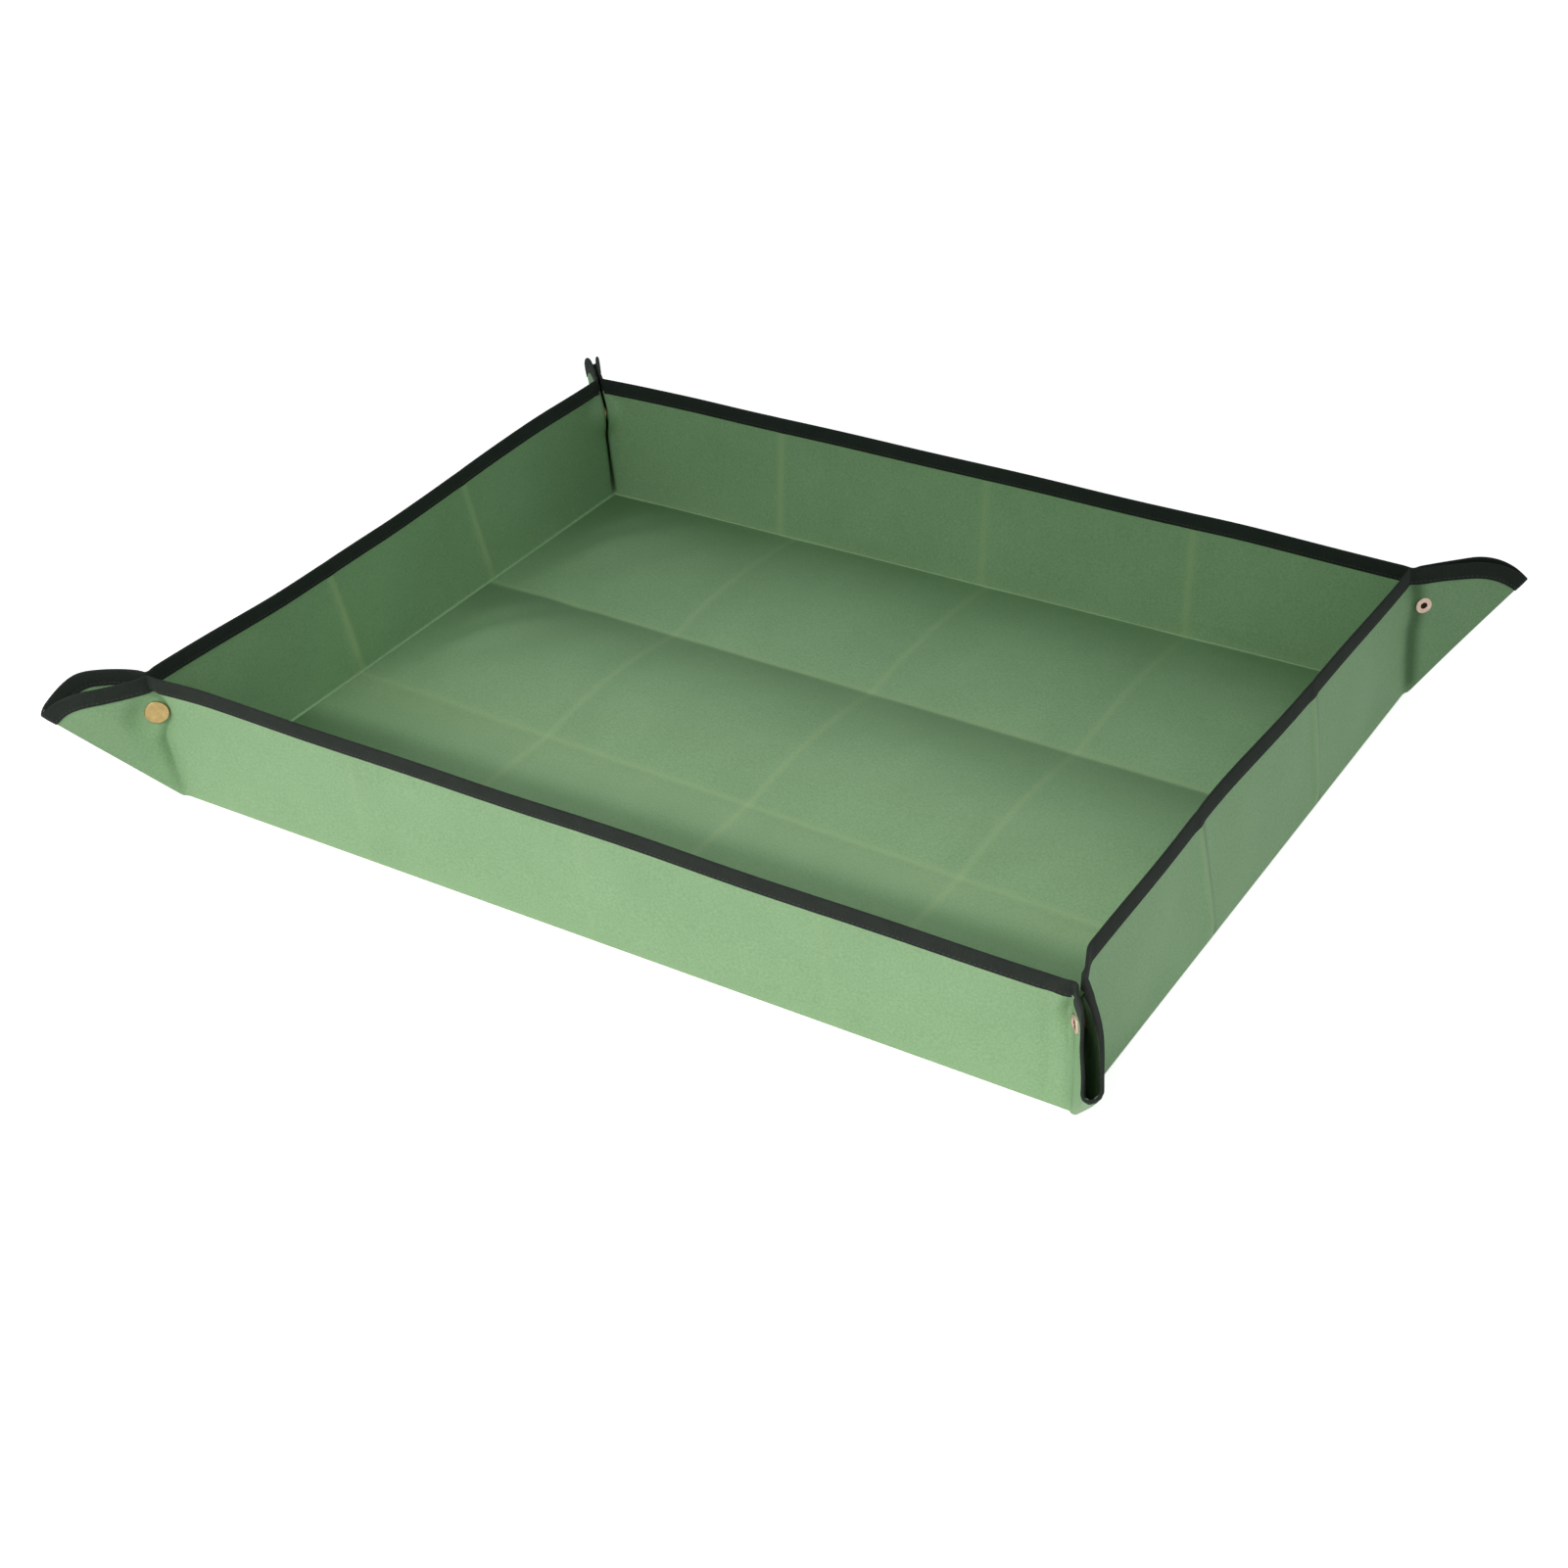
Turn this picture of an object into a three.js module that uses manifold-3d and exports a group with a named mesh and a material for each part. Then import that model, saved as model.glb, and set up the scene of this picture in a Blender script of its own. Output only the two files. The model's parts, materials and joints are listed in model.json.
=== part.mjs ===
// A repotting mat: one sheet of coated cloth, bound with tape, whose four edges stand up as walls. At each
// corner the spare cloth is pinched into an ear, and a press stud through both layers holds the ear shut.
// Opened, the studs part and the walls and ears fold down until the sheet lies flat.
// Millimetres, +Z up. The origin is the middle of the underside, +X runs along the longer side, -Y is the front.

import * as THREE from "three";
import { mergeVertices } from "three/addons/utils/BufferGeometryUtils.js";
import Module from "manifold-3d";

const wasm = await Module();
wasm.setup();

// Tray, measured over the outside of the standing walls.
const baseLength = 776;
const baseWidth = 576;
const wallHeight = 112;

// Sheet.
const clothThickness = 0.8;
const sheetCornerRadius = 67;

// Pillows that the packing folds leave in the floor. The folds are a share of the base width from its middle,
// and run a little askew, as a rise of y along x.
const packFold = 0.159;
const frontFoldSlant = -0.036;
const backFoldSlant = -0.02;
const pillowRise = 10;
const pillowEnd = 70;
const pillowFacets = 6;
const pillowEndFacets = 2;

// Binding tape, folded over the edge of the sheet.
const tapeReach = 12.5;
const tapeThickness = 0.6;

// Where a press stud sits: outward from the fold line of its ear, and down from the rim.
const snapReach = 10;
const snapDrop = 32;

// Cap half of a press stud: a domed cap whose barrel goes through the cloth and is curled over in the socket.
const capDiameter = 19;
const capRimThickness = 0.7;
const capDomeHeight = 0.9;
const capBarrelRadius = 2;
const capCurlRadius = 3;
const capCurlThickness = 0.3;
const socketHeight = 3;
const socketBase = 0.5;
const socketWall = 1.5;

// Eyelet half of a press stud: an open post whose barrel is flared out inside the hollow stud.
const postDiameter = 13.5;
const postThickness = 0.9;
const postEdge = 0.4;
const postHoleRadius = 2.5;
const shellWall = 0.4;
const flareLip = 0.3;
const studFlangeDiameter = 11;
const studFlange = 0.8;

// Clearances: between pieces that touch, between the stud and its socket, and past the end of a cut.
const seatGap = 0.3;
const snapPlay = 0.7;
const cutOver = 1;

// Facets of one outline arc and of one turned piece.
const arcFacets = 6;
const turnedFacets = 16;

// Each ear half is turned out from its wall by half a right angle, so that the two halves meet on the diagonal.
const earTurn = Math.PI / 4;
const diagonal = Math.PI / 4;

// The two layers of an ear are held apart by the socket and the flange of the stud between them.
const layerGap = socketHeight + studFlange + 3 * seatGap;
const cornerSetback = clothThickness / 2 + (layerGap + clothThickness) / 2 / Math.cos(earTurn);

// In an ear half's own plane u runs outward from its fold line and v up from the base crease.
const diagonalShift = cornerSetback - clothThickness;
const arcCentreV = wallHeight - sheetCornerRadius;
const arcCentreU = arcCentreV + diagonalShift;
const snapHeight = wallHeight - snapDrop;

// The tape covers the edge of the cloth, which ends inside its fold.
const clothInset = tapeThickness + seatGap;
const slotThickness = clothThickness + 2 * seatGap;
const boundThickness = slotThickness + 2 * tapeThickness;

// Two plates that meet at an ear's fold line end short of it, so that their outer corners clear each other.
const foldSetback = (thickness) => (thickness / 2) * Math.tan(earTurn / 2) + seatGap;
const clothSetback = foldSetback(clothThickness);
const tapeSetback = foldSetback(boundThickness);

// Radii of the press stud, from the hole in the post outward to the socket.
const postBarrelRadius = postHoleRadius + shellWall;
const studHoleRadius = postBarrelRadius + seatGap;
const postFlareRadius = studHoleRadius + flareLip;
const studCavityRadius = postFlareRadius + seatGap;
const studRadius = studCavityRadius + shellWall;
const socketBore = studRadius + snapPlay;
const socketRadius = socketBore + socketWall;
const capHoleRadius = capBarrelRadius + seatGap;

// Levels along the axis of a press stud, measured outward from the middle of the cloth it goes through.
const outerSeat = clothThickness / 2 + seatGap;
const innerSeat = -outerSeat;
const capCurlTop = innerSeat - socketBase - seatGap;
const studFace = innerSeat - studFlange;
const studLength = socketHeight - socketBase - capCurlThickness - seatGap;
const studEnd = studFace - studLength;
const postBarrelEnd = studEnd + shellWall + seatGap;

const finishes = {
  cloth: { color: 0x7fa578, roughness: 0.62, metalness: 0 },
  tape: { color: 0x262a28, roughness: 0.9, metalness: 0 },
  brass: { color: 0xcfa763, roughness: 0.32, metalness: 1 },
  copper: { color: 0xc79a83, roughness: 0.35, metalness: 1 },
};

const mat = new THREE.Group();

function addPiece(parent, name, geometry, finish) {
  const piece = new THREE.Mesh(geometry, new THREE.MeshStandardMaterial(finishes[finish]));
  piece.name = name;
  parent.add(piece);
  return piece;
}

// The same outline, or its mirror image in the fold line for an ear at the other end of a wall.
function sided(shape, side) {
  const flip = (point) => new THREE.Vector2(side * point.x, point.y);
  const outline = new THREE.Shape(shape.getPoints(arcFacets).map(flip));
  outline.holes = shape.holes.map((hole) => new THREE.Path(hole.getPoints(arcFacets).map(flip)));
  return outline;
}

// A plate of the given thickness, standing on its outline's x axis and centred on the plane of the wall.
function standingPlate(outline, thickness) {
  const plate = new THREE.ExtrudeGeometry(outline, { depth: thickness, bevelEnabled: false });
  plate.translate(0, 0, -thickness / 2);
  plate.rotateX(Math.PI / 2);
  return plate;
}

function rectangle(left, right, bottom, top) {
  return new THREE.Shape([
    new THREE.Vector2(left, bottom),
    new THREE.Vector2(right, bottom),
    new THREE.Vector2(right, top),
    new THREE.Vector2(left, top),
  ]);
}

function solidOf(geometry) {
  const bare = geometry.clone();
  bare.deleteAttribute("normal");
  bare.deleteAttribute("uv");
  const merged = mergeVertices(bare);
  const mesh = new wasm.Mesh({
    numProp: 3,
    vertProperties: merged.attributes.position.array,
    triVerts: new Uint32Array(merged.index.array),
  });
  return new wasm.Manifold(mesh);
}

function cutFrom(geometry, cutter) {
  const made = solidOf(geometry).subtract(solidOf(cutter)).getMesh();
  const cut = new THREE.BufferGeometry();
  cut.setAttribute("position", new THREE.BufferAttribute(made.vertProperties, 3));
  cut.setIndex(new THREE.BufferAttribute(made.triVerts, 1));
  return cut;
}

// Outline of an ear half: up the fold line, along the rim, round the sheet's corner and back down the crease.
function earOutline(holeRadius) {
  const radius = sheetCornerRadius - clothInset;
  const tipAngle = diagonal + Math.asin(seatGap / radius);
  const creaseFoot = seatGap + diagonalShift - seatGap / Math.sin(diagonal);
  const outline = new THREE.Shape();
  outline.moveTo(clothSetback, seatGap);
  outline.lineTo(creaseFoot, seatGap);
  outline.absarc(arcCentreU, arcCentreV, radius, tipAngle, Math.PI / 2, false);
  outline.lineTo(clothSetback, wallHeight - clothInset);
  const hole = new THREE.Path();
  hole.absarc(snapReach, snapHeight, holeRadius, 0, 2 * Math.PI, true);
  outline.holes.push(hole);
  return outline;
}

// Strip of an ear's edge between two distances in from the edge, starting at u and ending by the crease.
function edgeStrip(outerInset, innerInset, start, creaseInset) {
  const outerRadius = sheetCornerRadius - outerInset;
  const innerRadius = sheetCornerRadius - innerInset;
  const outerTip = diagonal + Math.asin(creaseInset / outerRadius);
  const innerTip = diagonal + Math.asin(creaseInset / innerRadius);
  const strip = new THREE.Shape();
  strip.moveTo(start, wallHeight - innerInset);
  strip.absarc(arcCentreU, arcCentreV, innerRadius, Math.PI / 2, innerTip, true);
  strip.absarc(arcCentreU, arcCentreV, outerRadius, outerTip, Math.PI / 2, false);
  strip.lineTo(start, wallHeight - outerInset);
  return strip;
}

function earBinding(side) {
  const tape = edgeStrip(0, tapeReach, tapeSetback, seatGap);
  const slot = edgeStrip(tapeThickness, tapeReach + cutOver, tapeSetback - cutOver, seatGap - cutOver);
  return cutFrom(
    standingPlate(sided(tape, side), boundThickness),
    standingPlate(sided(slot, side), slotThickness),
  );
}

function wallBinding(foldLine) {
  const end = foldLine - tapeSetback;
  const slotEnd = end + cutOver;
  const tape = rectangle(-end, end, wallHeight - tapeReach, wallHeight);
  const slot = rectangle(-slotEnd, slotEnd, wallHeight - tapeReach - cutOver, wallHeight - tapeThickness);
  return cutFrom(standingPlate(tape, boundThickness), standingPlate(slot, slotThickness));
}

// A turned piece of a press stud: each profile point is a radius and a level outward from the cloth.
function turned(profile) {
  const points = profile.map(([radius, level]) => new THREE.Vector2(radius, level));
  const piece = new THREE.LatheGeometry(points, turnedFacets);
  piece.rotateX(Math.PI);
  return piece;
}

function capGeometry() {
  const capRadius = capDiameter / 2;
  const curlEnd = capCurlTop - capCurlThickness;
  const rimTop = outerSeat + capRimThickness;
  const domePoint = (share) => [
    capRadius * Math.cos((share * Math.PI) / 2),
    rimTop + capDomeHeight * Math.sin((share * Math.PI) / 2),
  ];
  return turned([
    [0, curlEnd],
    [capCurlRadius, curlEnd],
    [capCurlRadius, capCurlTop],
    [capBarrelRadius, capCurlTop],
    [capBarrelRadius, outerSeat],
    [capRadius, outerSeat],
    domePoint(0),
    domePoint(1 / 3),
    domePoint(2 / 3),
    [0, rimTop + capDomeHeight],
  ]);
}

function socketGeometry() {
  const mouth = innerSeat - socketHeight;
  const floor = innerSeat - socketBase;
  return turned([
    [socketBore, mouth],
    [socketRadius, mouth],
    [socketRadius, innerSeat],
    [capHoleRadius, innerSeat],
    [capHoleRadius, floor],
    [socketBore, floor],
    [socketBore, mouth],
  ]);
}

function studGeometry() {
  const flangeRadius = studFlangeDiameter / 2;
  const lip = innerSeat - shellWall;
  const cavityEnd = studEnd + shellWall;
  return turned([
    [0, studEnd],
    [studRadius, studEnd],
    [studRadius, studFace],
    [flangeRadius, studFace],
    [flangeRadius, innerSeat],
    [studHoleRadius, innerSeat],
    [studHoleRadius, lip],
    [studCavityRadius, lip],
    [studCavityRadius, cavityEnd],
    [0, cavityEnd],
  ]);
}

function postGeometry() {
  const ringRadius = postDiameter / 2;
  const flareTop = postBarrelEnd + shellWall;
  const ringTop = outerSeat + postThickness;
  return turned([
    [postHoleRadius, postBarrelEnd],
    [postFlareRadius, postBarrelEnd],
    [postFlareRadius, flareTop],
    [postBarrelRadius, flareTop],
    [postBarrelRadius, outerSeat],
    [ringRadius, outerSeat],
    [ringRadius, ringTop - postEdge],
    [ringRadius - postEdge, ringTop],
    [postHoleRadius + postEdge, ringTop],
    [postHoleRadius, ringTop - postEdge],
    [postHoleRadius, postBarrelEnd],
  ]);
}

// One half of an ear with its binding and its half of the press stud, turned about the fold line.
function addEar(wall, foldLine, side, names) {
  const ear = new THREE.Group();
  ear.position.x = side * foldLine;
  ear.rotation.z = -side * earTurn;
  wall.add(ear);
  const holeRadius = names.half === "cap" ? capHoleRadius : studHoleRadius;
  const cloth = standingPlate(sided(earOutline(holeRadius), side), clothThickness);
  addPiece(ear, names.ear, cloth, "cloth");
  addPiece(ear, `${names.ear}_binding`, earBinding(side), "tape");
  const snapPlace = new THREE.Vector3(side * snapReach, 0, snapHeight);
  const snapPieces =
    names.half === "cap"
      ? { cap: [capGeometry(), "brass"], socket: [socketGeometry(), "brass"] }
      : { post: [postGeometry(), "copper"], stud: [studGeometry(), "copper"] };
  for (const [piece, [geometry, finish]] of Object.entries(snapPieces)) {
    addPiece(ear, `${names.corner}_snap_${piece}`, geometry, finish).position.copy(snapPlace);
  }
}

// A wall in its own frame, seen from outside: x along it to the right, -y towards the viewer, z up. The cap of
// the press stud is at its left end and the open post at its right end.
function addWall({ name, heading, span, distance, leftEar, leftCorner, rightEar, rightCorner }) {
  const turn = new THREE.Group();
  turn.rotation.z = heading;
  mat.add(turn);
  const wall = new THREE.Group();
  wall.position.y = -(distance - clothThickness / 2);
  turn.add(wall);
  const foldLine = span / 2 - cornerSetback;
  const end = foldLine - clothSetback;
  const panel = rectangle(-end, end, seatGap, wallHeight - clothInset);
  addPiece(wall, name, standingPlate(panel, clothThickness), "cloth");
  addPiece(wall, `${name}_binding`, wallBinding(foldLine), "tape");
  addEar(wall, foldLine, -1, { ear: `${name}_${leftEar}_ear`, corner: leftCorner, half: "cap" });
  addEar(wall, foldLine, 1, { ear: `${name}_${rightEar}_ear`, corner: rightCorner, half: "post" });
}

// Points across the floor at x, from front to back: flat to the front fold, then a pillow on each side of the
// back fold. Each point is a place along y and a share of the pillows' rise.
function floorRow(x, width) {
  const frontFold = -packFold * baseWidth + frontFoldSlant * x;
  const backFold = packFold * baseWidth + backFoldSlant * x;
  const row = [[-width / 2, 0], [frontFold, 0]];
  for (const [start, end] of [[frontFold, backFold], [backFold, width / 2]]) {
    for (let step = 1; step <= pillowFacets; step += 1) {
      const share = step / pillowFacets;
      row.push([start + share * (end - start), 4 * share * (1 - share)]);
    }
  }
  return row;
}

// The floor's cloth, whose two pillows run along x and go down to the level of the creases at both ends.
function floorGeometry(length, width) {
  const columns = [];
  for (let step = 0; step <= pillowEndFacets; step += 1) {
    const share = step / pillowEndFacets;
    columns.push([share * pillowEnd - length / 2, share * share * (3 - 2 * share)]);
  }
  columns.push(...columns.map(([x, share]) => [-x, share]).reverse());
  const positions = [];
  for (const level of [clothThickness, 0]) {
    for (const [x, share] of columns) {
      for (const [y, arch] of floorRow(x, width)) {
        positions.push(x, y, level + pillowRise * share * arch);
      }
    }
  }
  const rows = floorRow(0, width).length;
  const lastColumn = columns.length - 1;
  const lastRow = rows - 1;
  const top = (column, row) => column * rows + row;
  const under = (column, row) => (columns.length + column) * rows + row;
  const faces = [];
  const quad = (a, b, c, d) => faces.push(a, b, c, a, c, d);
  for (let i = 0; i < lastColumn; i += 1) {
    for (let j = 0; j < lastRow; j += 1) {
      quad(top(i, j), top(i + 1, j), top(i + 1, j + 1), top(i, j + 1));
      quad(under(i, j), under(i, j + 1), under(i + 1, j + 1), under(i + 1, j));
    }
    quad(under(i, 0), under(i + 1, 0), top(i + 1, 0), top(i, 0));
    quad(under(i + 1, lastRow), under(i, lastRow), top(i, lastRow), top(i + 1, lastRow));
  }
  for (let j = 0; j < lastRow; j += 1) {
    quad(under(0, j + 1), under(0, j), top(0, j), top(0, j + 1));
    quad(under(lastColumn, j), under(lastColumn, j + 1), top(lastColumn, j + 1), top(lastColumn, j));
  }
  const cloth = new THREE.BufferGeometry();
  cloth.setAttribute("position", new THREE.Float32BufferAttribute(positions, 3));
  cloth.setIndex(faces);
  return cloth;
}

function addFloor() {
  const length = baseLength - 2 * (clothThickness + seatGap);
  const width = baseWidth - 2 * (clothThickness + seatGap);
  addPiece(mat, "floor_panel", floorGeometry(length, width), "cloth");
}

addFloor();
addWall({
  name: "front_wall",
  heading: 0,
  span: baseLength,
  distance: baseWidth / 2,
  leftEar: "left",
  leftCorner: "front_left",
  rightEar: "right",
  rightCorner: "front_right",
});
addWall({
  name: "right_wall",
  heading: Math.PI / 2,
  span: baseWidth,
  distance: baseLength / 2,
  leftEar: "front",
  leftCorner: "front_right",
  rightEar: "back",
  rightCorner: "back_right",
});
addWall({
  name: "back_wall",
  heading: Math.PI,
  span: baseLength,
  distance: baseWidth / 2,
  leftEar: "right",
  leftCorner: "back_right",
  rightEar: "left",
  rightCorner: "back_left",
});
addWall({
  name: "left_wall",
  heading: -Math.PI / 2,
  span: baseWidth,
  distance: baseLength / 2,
  leftEar: "back",
  leftCorner: "back_left",
  rightEar: "front",
  rightCorner: "front_left",
});

export default mat;
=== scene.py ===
# %% [markdown]
# # A repotting mat, cell by cell
# The mat is one sheet of green coated cloth with a black tape sewn round its edge. Four press studs
# pinch its corners into ears, so the border stands up as four low walls and the sheet becomes a tray.
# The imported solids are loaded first. They fix where everything goes, in metres, and each piece of
# cloth, tape or metal that is made here takes the place of one of them.

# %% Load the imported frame
import json
import math

import bpy
import numpy as np
from mathutils import Matrix, Vector


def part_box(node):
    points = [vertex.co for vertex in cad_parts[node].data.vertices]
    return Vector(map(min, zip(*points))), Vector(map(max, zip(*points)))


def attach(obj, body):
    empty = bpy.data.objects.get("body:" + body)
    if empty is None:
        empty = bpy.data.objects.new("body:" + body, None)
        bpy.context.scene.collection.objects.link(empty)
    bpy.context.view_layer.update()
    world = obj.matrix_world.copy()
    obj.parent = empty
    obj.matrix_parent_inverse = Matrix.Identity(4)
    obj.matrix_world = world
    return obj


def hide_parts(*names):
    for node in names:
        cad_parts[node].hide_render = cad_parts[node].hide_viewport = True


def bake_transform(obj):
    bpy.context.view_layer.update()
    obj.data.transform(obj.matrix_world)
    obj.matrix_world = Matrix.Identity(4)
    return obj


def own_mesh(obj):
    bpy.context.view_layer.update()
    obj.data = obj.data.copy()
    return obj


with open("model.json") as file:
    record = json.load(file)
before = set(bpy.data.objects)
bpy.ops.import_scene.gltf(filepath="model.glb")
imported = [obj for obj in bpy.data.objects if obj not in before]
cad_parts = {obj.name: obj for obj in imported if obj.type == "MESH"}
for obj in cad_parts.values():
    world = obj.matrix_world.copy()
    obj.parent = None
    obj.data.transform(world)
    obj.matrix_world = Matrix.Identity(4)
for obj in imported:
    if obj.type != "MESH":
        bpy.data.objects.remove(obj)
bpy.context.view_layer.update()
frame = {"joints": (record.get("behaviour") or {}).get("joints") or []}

# %% [markdown]
# ## Camera
# The photograph was taken from the front right, looking down at a third of a right angle, with a
# longish lens and a slight tilt. A camera could be turned by hand until the corners agree. Here its
# direction, tilt, distance and lens are numbers that were fitted to the eight corners of the tray. The
# camera is put at its target, turned three times and moved back along its own axis.

# %% Camera
QUARTER = math.radians(90)
IMAGE_SIDE = 1601
FOCAL_PIXELS = 2535.5
SENSOR_WIDTH = 36
CAMERA_AZIMUTH = math.radians(34.52)
CAMERA_ELEVATION = math.radians(33.49)
CAMERA_ROLL = math.radians(-3.70)
CAMERA_DISTANCE = 1.9124
CAMERA_TARGET = (0.0197, -0.0543, 0.0)

bpy.ops.object.camera_add()
camera = bpy.context.object
camera.data.sensor_width = SENSOR_WIDTH
camera.data.lens = FOCAL_PIXELS / IMAGE_SIDE * SENSOR_WIDTH
turned = Matrix.Rotation(CAMERA_AZIMUTH, 4, "Z") @ Matrix.Rotation(QUARTER - CAMERA_ELEVATION, 4, "X")
turned = turned @ Matrix.Rotation(CAMERA_ROLL, 4, "Z")
moved_back = Matrix.Translation((0, 0, CAMERA_DISTANCE))
camera.matrix_world = Matrix.Translation(CAMERA_TARGET) @ turned @ moved_back
bpy.context.scene.camera = camera
print("lens", round(camera.data.lens, 2), "mm, camera at", [round(c, 3) for c in camera.location])

# %% [markdown]
# ## Floor, lamps and world
# The mat stands on a plain white floor. Two long soft lamps hang in front of it, one behind the other,
# and their light is kept narrow, as by the grid of a softbox, so the front wall is the brightest face
# and the inside of the tray gets darker towards the back. A weak lamp fills in from the right, and the
# world adds an even light. The lamps are a little rosy and the world a little green, so that lit faces
# look warmer than shaded ones. Where the camera or a shiny piece looks past the mat it sees plain
# white, which comes from the floor and the world and not from more light on the mat.


# %% Helpers for shader nodes
def set_sockets(tree, node, inputs):
    """Gives a node's sockets plain values, or links them to the outputs of other nodes."""
    for socket, value in inputs.items():
        if isinstance(value, bpy.types.NodeSocket):
            tree.links.new(value, node.inputs[socket])
        else:
            node.inputs[socket].default_value = value


def new_node(tree, kind, inputs, **settings):
    node = tree.nodes.new(f"ShaderNode{kind}")
    for setting, value in settings.items():
        setattr(node, setting, value)
    set_sockets(tree, node, inputs)
    return node


def range_node(tree, value, low, high, from_low=0.0, from_high=1.0):
    inputs = {"Value": value, "From Min": from_low, "From Max": from_high, "To Min": low, "To Max": high}
    return new_node(tree, "MapRange", inputs).outputs["Result"]


def value_mix(tree, operation, first, second):
    return new_node(tree, "Math", {0: first, 1: second}, operation=operation).outputs["Value"]


def colour_mix(tree, factor, first, second):
    """Mixes two colours. The numbers are the places of the Mix node's colour sockets."""
    return new_node(tree, "Mix", {0: factor, 6: first, 7: second}, data_type="RGBA").outputs[2]


def finish_start(name):
    material = bpy.data.materials.new(name)
    material.use_nodes = True
    tree = material.node_tree
    return material, tree, tree.nodes["Principled BSDF"]


def seen_directly(tree):
    """1 for rays from the camera and from shiny or clear pieces, 0 for the light that falls on the mat."""
    path = new_node(tree, "LightPath", {})
    seen = path.outputs["Is Camera Ray"]
    for ray in ("Is Glossy Ray", "Is Transmission Ray"):
        seen = value_mix(tree, "MAXIMUM", seen, path.outputs[ray])
    return seen


# %% Stage floor
FLOOR_SIDE = 14
FLOOR_DROP = 0.0012
FLOOR_PALE = (0.88, 0.88, 0.88, 1)
FLOOR_GLOW = 0.74
WHITE = (1, 1, 1, 1)

bpy.ops.object.select_all(action="DESELECT")
bpy.ops.mesh.primitive_plane_add(size=FLOOR_SIDE, location=(0, 0, -FLOOR_DROP))
stage_floor = bpy.context.object
stage_floor.name = "stage_floor"
floor_white, tree, shader = finish_start("stage_white")
glow = range_node(tree, seen_directly(tree), 0, FLOOR_GLOW)
set_sockets(tree, shader, {"Base Color": FLOOR_PALE, "Roughness": 0.9, "Specular IOR Level": 0.1,
                           "Emission Color": WHITE, "Emission Strength": glow})
stage_floor.data.materials.append(floor_white)
print("floor", FLOOR_SIDE, "m wide")

# %% Lamps
# Each lamp: its place, where it points, its width and height, the angle its light spreads to, its watts.
LAMPS = {
    "front_low": ((0, -1.10, 0.60), (0, -0.20, 0), 1.4, 0.3, 60, 0.50),
    "front_high": ((0, -0.95, 0.80), (0, -0.34, 0), 1.4, 0.3, 45, 1.12),
    "right_fill": ((1.20, 0, 0.60), (0.40, 0, 0), 0.4, 1.0, 60, 0.10),
}
LAMP_COLOUR = (1, 0.895, 0.915)
for name, (place, target, width, height, spread, watts) in LAMPS.items():
    bpy.ops.object.light_add(type="AREA", location=place)
    lamp = bpy.context.object
    lamp.name = name
    lamp.data.shape = "RECTANGLE"
    lamp.data.size = width
    lamp.data.size_y = height
    lamp.data.spread = math.radians(spread)
    lamp.data.energy = watts
    lamp.data.color = LAMP_COLOUR
    lamp.rotation_euler = (Vector(target) - Vector(place)).to_track_quat("-Z", "Y").to_euler()
print("lamps", list(LAMPS))

# %% World
WORLD_STRENGTH = 0.37
WORLD_COLOUR = (0.93, 1, 0.98, 1)
world = bpy.data.worlds.new("studio")
bpy.context.scene.world = world
world.use_nodes = True
tree = world.node_tree
seen = seen_directly(tree)
sky = {"Color": colour_mix(tree, seen, WORLD_COLOUR, WHITE),
       "Strength": range_node(tree, seen, WORLD_STRENGTH, 1)}
set_sockets(tree, tree.nodes["Background"], sky)
bpy.context.scene.view_settings.view_transform = "Standard"
print("world light", WORLD_STRENGTH)

# %% [markdown]
# ## The sheet's own measures
# Everything below needs to know where the sheet folds. The fold lines are the joints of the packed
# model, and thickness, wall height and tape width are the sizes of its nodes, so they are read from
# the frame and not typed in again. Only what the frame doesn't say, such as how round a fold is,
# gets a number of its own.

# %% Measures read from the frame
MM = 0.001
TAPE_THICKNESS = 0.6 * MM
SHEET_CORNER_RADIUS = 67 * MM
joint_place = {joint["name"]: Vector(joint["pos_m"]) for joint in frame["joints"]}
front_low, front_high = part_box("front_wall")
cloth_thickness = front_high.y - front_low.y
tape_low, tape_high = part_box("front_wall_binding")
wall_height = tape_high.z
tape_reach = tape_high.z - tape_low.z
half_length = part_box("right_wall")[1].x
half_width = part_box("back_wall")[1].y
print("cloth", round(cloth_thickness / MM, 2), "mm, walls", round(wall_height / MM, 1), "mm, tape",
      round(tape_reach / MM, 1), "mm")

# %% [markdown]
# ## Walls and ears as one strip
# Each wall runs on round a soft vertical bend into half an ear at both ends, so a wall and its two
# ear halves are one strip of the sheet. If each were shaped on its own, the seams between them would
# gape. So one function gives the place of any point of a strip: x runs along it, z up it. The cloth,
# the tape, the stitches and the wear all ask this function, and therefore fit each other.

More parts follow.
